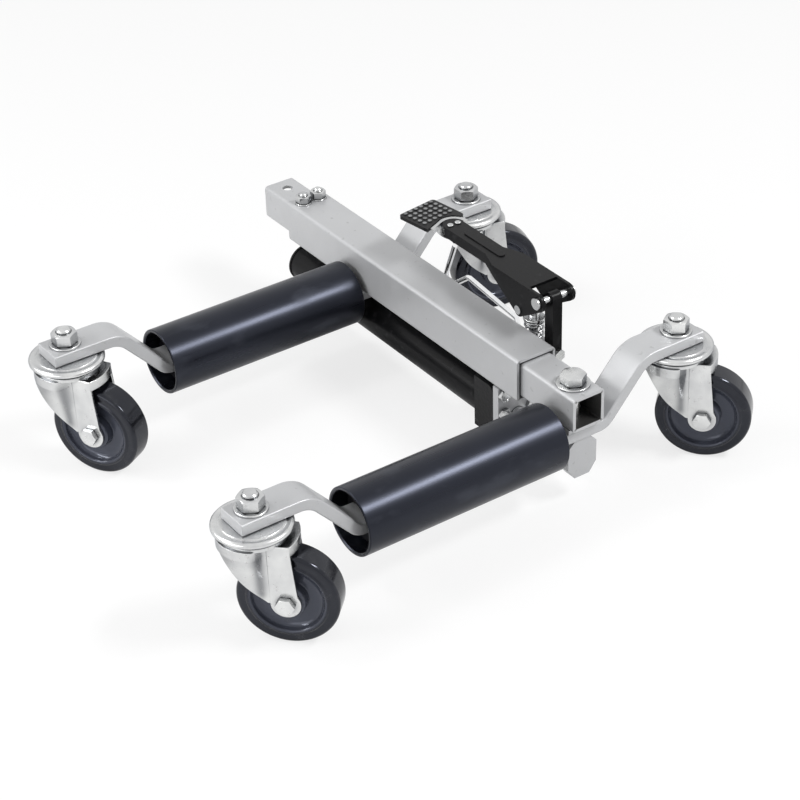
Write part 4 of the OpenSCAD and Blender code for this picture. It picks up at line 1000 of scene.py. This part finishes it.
moulded = phenolic()
wheel_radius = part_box("lf_wheel")[1].z / 2
joint_axes = {joint["name"]: joint for joint in frame["joints"]}
crown_low = wheel_radius * 2 + CROWN_ROOM
hub_half = FORK_GAP / 2 - HUB_PLAY
wheel_place = (TRAIL, 0, wheel_radius)
for corner in ("lf", "lr", "rf", "rr"):
    spin = joint_axes[corner + "_wheel_spin"]
    pivot = joint_axes[corner + "_swivel_turn"]["pos_m"]
    angle = math.atan2(-spin["axis"][0], spin["axis"][1])
    swivel = Matrix.Translation((pivot[0], pivot[1], 0)) @ Matrix.Rotation(angle, 4, "Z")
    fork = fork_mesh(crown_low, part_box(corner + "_fork")[1].z, wheel_radius)
    # Marks the hollow beside each flat strip, where the zinc's colour gets painted shade.
    marked(fork, "hollow", lambda p: valley(p, wheel_radius, crown_low))
    piece(corner + "_pressed_fork", placed(fork, swivel), zinc, corner + "_swivel", "zinc", corner + "_fork")
    bolt = joined(
        standing(hexagon(AXLE_FLATS, AXLE_HEAD), (TRAIL, -LEG_FACE, wheel_radius), -Y_AXIS),
        standing(threaded_end(AXLE, 0, AXLE_END, M10_PITCH, 0.0008), (TRAIL, LEG_FACE, wheel_radius), Y_AXIS),
        standing(hexagon(AXLE_FLATS, M10_NUT, AXLE), (TRAIL, LEG_FACE, wheel_radius), Y_AXIS),
        lathe(turned_bar(AXLE / 2, -LEG_FACE, LEG_FACE), wheel_place, Y_AXIS, 48),
        pipe(arc((TRAIL, wheel_radius), SPACER_RADIUS, 0, 345, 23),
             arc((TRAIL, wheel_radius), AXLE / 2 + 0.0001, 0, 345, 23), "Y", -FORK_GAP / 2, FORK_GAP / 2))
    piece(corner + "_axle_bolt", placed(bolt, swivel), zinc, corner + "_swivel", "zinc", corner + "_axle")
    outline = wheel_outline(wheel_radius, WHEEL_WIDTH / 2, hub_half, BUSH_RADIUS)
    tyre = lathe(outline, wheel_place, Y_AXIS, 144)
    # Marks the wheel's dish, which gets a lighter blue-grey as painted sheen.
    marked(tyre, "dish", lambda p: falling(
        math.hypot(p.x - TRAIL, p.z - wheel_radius), DISH_FADE_START, DISH_FADE_END))
    piece(corner + "_moulded_wheel", placed(tyre, swivel), moulded, corner + "_rolling_wheel",
          "wheel_black", corner + "_wheel")
    repainted(zinc, corner + "_wheel_bush")
for side, body in (("left", "base"), ("right", "right_carriage")):
    race_low, race_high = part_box(side + "_top_races")
    race_radius = (race_high.x - race_low.x) / 2
    race_x = middle_of(side + "_top_races").x
    pins = [(race_x, near_pin, 0), (race_x, far_pin, 0)]
    race = lathe(race_profile(race_radius, race_low.z, race_high.z, PIN_BORE), steps=128)
    piece(side + "_race_pair", at_each(race, pins, zinc), zinc, body, "zinc", side + "_top_races")
    nut_low, nut_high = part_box(side + "_kingpin_nuts")
    pin_low, pin_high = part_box(side + "_kingpins")
    nut_height = nut_high.z - nut_low.z - KING_WASHER
    stack = raised(joined(washer(2.1 * KINGPIN, KINGPIN, KING_WASHER),
                          raised(hexagon(1.5 * KINGPIN, nut_height, KINGPIN), KING_WASHER)), nut_low.z)
    piece(side + "_pin_nuts", at_each(stack, pins, zinc), zinc, body, "zinc", side + "_kingpin_nuts")
    head_rim = arc((KING_HEAD - KING_HEAD_EDGE, pin_low.z + KING_HEAD_EDGE), KING_HEAD_EDGE, -90, 90, 6)
    swivel_pin = joined(
        lathe([(0, pin_low.z), *head_rim, (0, pin_low.z + 2 * KING_HEAD_EDGE)], steps=48),
        lathe(turned_bar(KINGPIN / 2, pin_low.z + 0.001, nut_low.z), steps=48),
        threaded_end(KINGPIN, nut_low.z, pin_high.z, M16_PITCH))
    piece(side + "_swivel_pins", at_each(swivel_pin, pins, zinc), zinc, body, "zinc", side + "_kingpins")

# Pull ram under the sleeve: a black cylinder with a rimmed cap, a chromed rod, its piston and gland.
# The rod ends in a thick lug plate that hangs under the right arm, held by a lock nut with its washer.
RAM_WALL = 0.004
TURNED_EDGE = 0.0006
CAP_FACE_RIM = 0.0012
CAP_BACK_RIM = 0.0008
CAP_FIT = 0.0001


def hard_chrome():
    """Hard chrome: a mirror with fine grinding lines."""
    finish = Finish("hard_chrome", Metallic=1.0)
    lines = finish.noise(900, 3, (8, 1, 1))
    haze = finish.spread(finish.noise(50, 4), 0.4, 0.7)
    return finish.fed(
        Base_Color=finish.mixed(haze, (0.80, 0.81, 0.82, 1), (0.9, 0.9, 0.9, 1)),
        Roughness=0.07 + haze * 0.05 + lines * 0.05,
        Normal=finish.bump(lines, 0.00001))


def bearing_bronze():
    """Turned bronze."""
    finish = Finish("bearing_bronze", Metallic=1.0)
    tarnish = finish.spread(finish.noise(80, 4), 0.4, 0.65)
    return finish.fed(
        Base_Color=finish.mixed(tarnish, (0.62, 0.42, 0.18, 1), (0.4, 0.26, 0.12, 1)),
        Roughness=0.25 + tarnish * 0.2,
        Normal=finish.bump(finish.noise(600, 2), 0.00002))


chrome = hard_chrome()
ram_low, ram_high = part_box("ram_cylinder")
cap_low, cap_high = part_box("cylinder_end_cap")
ram_middle = Vector((0, tube_middle_y, middle_of("ram_cylinder").z))
ram_radius = (ram_high.z - ram_low.z) / 2
ram_bore = ram_radius - RAM_WALL
ram_tube = lathe([(ram_bore, ram_low.x), (ram_radius - TURNED_EDGE, ram_low.x),
                  (ram_radius, ram_low.x + TURNED_EDGE), (ram_radius, ram_high.x), (ram_bore, ram_high.x)],
                 ram_middle, X_AXIS, 96)
piece("ram_tube", ram_tube, black, "base", "pump_black", "ram_cylinder")
cap_radius = (cap_high.z - cap_low.z) / 2
cap_neck = ram_bore - CAP_FIT
face_rim = arc((cap_radius - CAP_FACE_RIM, cap_low.x + CAP_FACE_RIM), CAP_FACE_RIM, -90, 0, 4)
back_rim = arc((cap_radius - CAP_BACK_RIM, ram_low.x - CAP_BACK_RIM), CAP_BACK_RIM, 0, 90, 3)
cap = lathe([(0, cap_low.x), *face_rim, *back_rim, (cap_neck, ram_low.x), (cap_neck, cap_high.x),
             (0, cap_high.x)], ram_middle, X_AXIS, 96)
piece("ram_cap", cap, black, "base", "pump_black", "cylinder_end_cap")
repainted(bearing_bronze(), "rod_gland")
repainted(zinc, "ram_piston", "rod_nuts")
repainted(chrome, "ram_rod")
softened("lug_plate", "rod_lug", 0.0012, enamel, "right_carriage", "grey_paint")

# Foot pump: a cast black block on the ram, held by four screws to the plate welded under the sleeve.
# The plunger rises from its tower through a bright cap and an open return spring.


def cast_enamel():
    """Black enamel over a cast surface, with a coarser grain than on the pressings."""
    finish = Finish("cast_enamel", Specular_IOR_Level=0.18)
    pits = finish.noise(260, 5)
    rubbed = finish.spread(finish.noise(60, 5), 0.6, 0.72)
    return finish.fed(
        Base_Color=finish.mixed(rubbed * 0.5, (0.006, 0.006, 0.0065, 1), (0.045, 0.045, 0.047, 1)),
        Roughness=0.34 + pits * 0.16,
        Normal=finish.bump(pits, 0.00022))


cast_black = cast_enamel()
softened("pump_casting", "pump_block", 0.0012, cast_black, "base", "pump_black")
softened("mount_plate", "pump_mount_plate", 0.0009, enamel, "base", "grey_paint")
plate_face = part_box("pump_mount_plate")[1].x
screw_low, screw_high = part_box("pump_mount_bolts")
MOUNT_SCREW = 0.008
SCREW_FLATS = 0.013
SCREW_CORNERS = 0.015
screw_head = hexagon(SCREW_FLATS, screw_high.x - plate_face)
screw_shank = lathe(turned_bar(MOUNT_SCREW / 2, screw_low.x - plate_face, 0.001), steps=32)
mount_screw = standing(joined(screw_head, screw_shank), (0, 0, 0), X_AXIS)
screw_places = [(plate_face, y, z) for y in (screw_low.y + SCREW_CORNERS / 2, screw_high.y - SCREW_CORNERS / 2)
                for z in (screw_low.z + SCREW_FLATS / 2, screw_high.z - SCREW_FLATS / 2)]
piece("mount_screws", at_each(mount_screw, screw_places, zinc), zinc, "base", "zinc", "pump_mount_bolts")

plunger_low, plunger_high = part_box("pump_plunger")
plunger_centre = middle_of("pump_plunger")
plunger_axis = Vector((plunger_centre.x, plunger_centre.y, 0))
plunger_r = (plunger_high.x - plunger_low.x) / 2
PLUNGER_EDGE = 0.0005
PLUNGER_CROWN = 0.003
crown = arc((plunger_r - PLUNGER_CROWN, plunger_high.z - PLUNGER_CROWN), PLUNGER_CROWN, 0, 80, 6)
plunger = lathe([(0, plunger_low.z), (plunger_r - PLUNGER_EDGE, plunger_low.z),
                 (plunger_r, plunger_low.z + PLUNGER_EDGE), *crown, (0, plunger_high.z)],
                plunger_axis, steps=64)
piece("plunger", plunger, chrome, "plunger", "chrome", "pump_plunger")
seat_low, seat_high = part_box("spring_cap")
seat_r = (seat_high.x - seat_low.x) / 2
seat_bore = plunger_r + 0.0001
SEAT_RIM = 0.0012
seat_rim = arc((seat_r - SEAT_RIM, seat_high.z - SEAT_RIM), SEAT_RIM, 0, 90, 5)
spring_seat = lathe([(seat_bore, seat_low.z), (seat_r - TURNED_EDGE, seat_low.z),
                     (seat_r, seat_low.z + TURNED_EDGE), *seat_rim, (seat_bore, seat_high.z)],
                    plunger_axis, steps=64)
piece("spring_seat", spring_seat, zinc, "plunger", "zinc", "spring_cap")
SPRING_WIRE = 0.0024
SPRING_TURNS = 7
SPRING_END_RISE = 0.0031
spring_low, spring_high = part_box("plunger_spring")
spring_r = (spring_high.x - spring_low.x - SPRING_WIRE) / 2
spring_rise = (spring_high.z - spring_low.z - SPRING_WIRE - 2 * SPRING_END_RISE) / (SPRING_TURNS - 2)
spring_mesh = coil.made(coil_axis, radius=spring_r, wire=SPRING_WIRE, turns=float(SPRING_TURNS),
                        rise=spring_rise, end_rise=SPRING_END_RISE, steps=48, sides=16, material=zinc)
spring_place = Matrix.Translation((plunger_centre.x, plunger_centre.y, spring_low.z + SPRING_WIRE / 2))
spring = piece("return_spring", placed(spring_mesh, spring_place), zinc, "base", "zinc", "plunger_spring")
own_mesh(spring)

# Pedal: a pressed black lever that pivots on the post and bears on the plunger.
# Its tread pad is held by a zinc strap and two rivets, and the tops of the pad's studs are painted light grey:
# shoe wear and a painted highlight.
STUD_HEIGHT = 0.0012
softened("post", "pedal_post", 0.001, black, "base", "pump_black")
repainted(zinc, "post_bolts", "pedal_pivot_pin", "lever_press_pin")
softened("lever", "pedal_lever", 0.0009, black, "pedal", "pump_black")
softened("strap", "pedal_strap", 0.0008, zinc, "pedal", "zinc")


def trodden_enamel(top):
    """The lever's black enamel, painted light grey on the tops of the pad's studs: trodden through to steel,
    and a painted highlight.
    """
    finish = Finish("trodden_enamel", Specular_IOR_Level=0.2)
    place = finish.add("ShaderNodeTexCoord", output="Object")
    height = finish.add("ShaderNodeSeparateXYZ", inputs={0: place}, output="Z")
    on_stud = finish.spread(height, top - STUD_HEIGHT * 0.6, top - STUD_HEIGHT * 0.2)
    worn_and_highlit = on_stud * finish.spread(finish.noise(90, 3), 0.3, 0.55, 0.45, 1)
    dust = finish.spread(finish.noise(140, 4), 0.45, 0.7)
    paint = finish.mixed(dust * 0.5, (0.005, 0.005, 0.0055, 1), (0.03, 0.03, 0.03, 1))
    return finish.fed(
        # Painted highlight: the stud tops are light grey, for shoe wear and for the light they catch.
        Base_Color=finish.mixed(worn_and_highlit, paint, (0.26, 0.265, 0.27, 1)),
        Metallic=worn_and_highlit * 0.5,
        Roughness=0.36 + dust * 0.15,
        Normal=finish.bump(finish.noise(700, 2), 0.00004))


pad_enamel = trodden_enamel(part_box("pedal_pad")[1].z)
softened("pad", "pedal_pad", 0.0008, pad_enamel, "pedal", "pump_black")
softened("rivets", "pedal_rivets", 0.0006, zinc, "pedal", "zinc")

# Release: a small hexagon valve body in the tower's side, with a spindle that lets the ram's oil back.
# The bent chromed rod turns the spindle, and its long arm lies beside the lever.
repainted(zinc, "release_valve")
repainted(chrome, "release_rod")
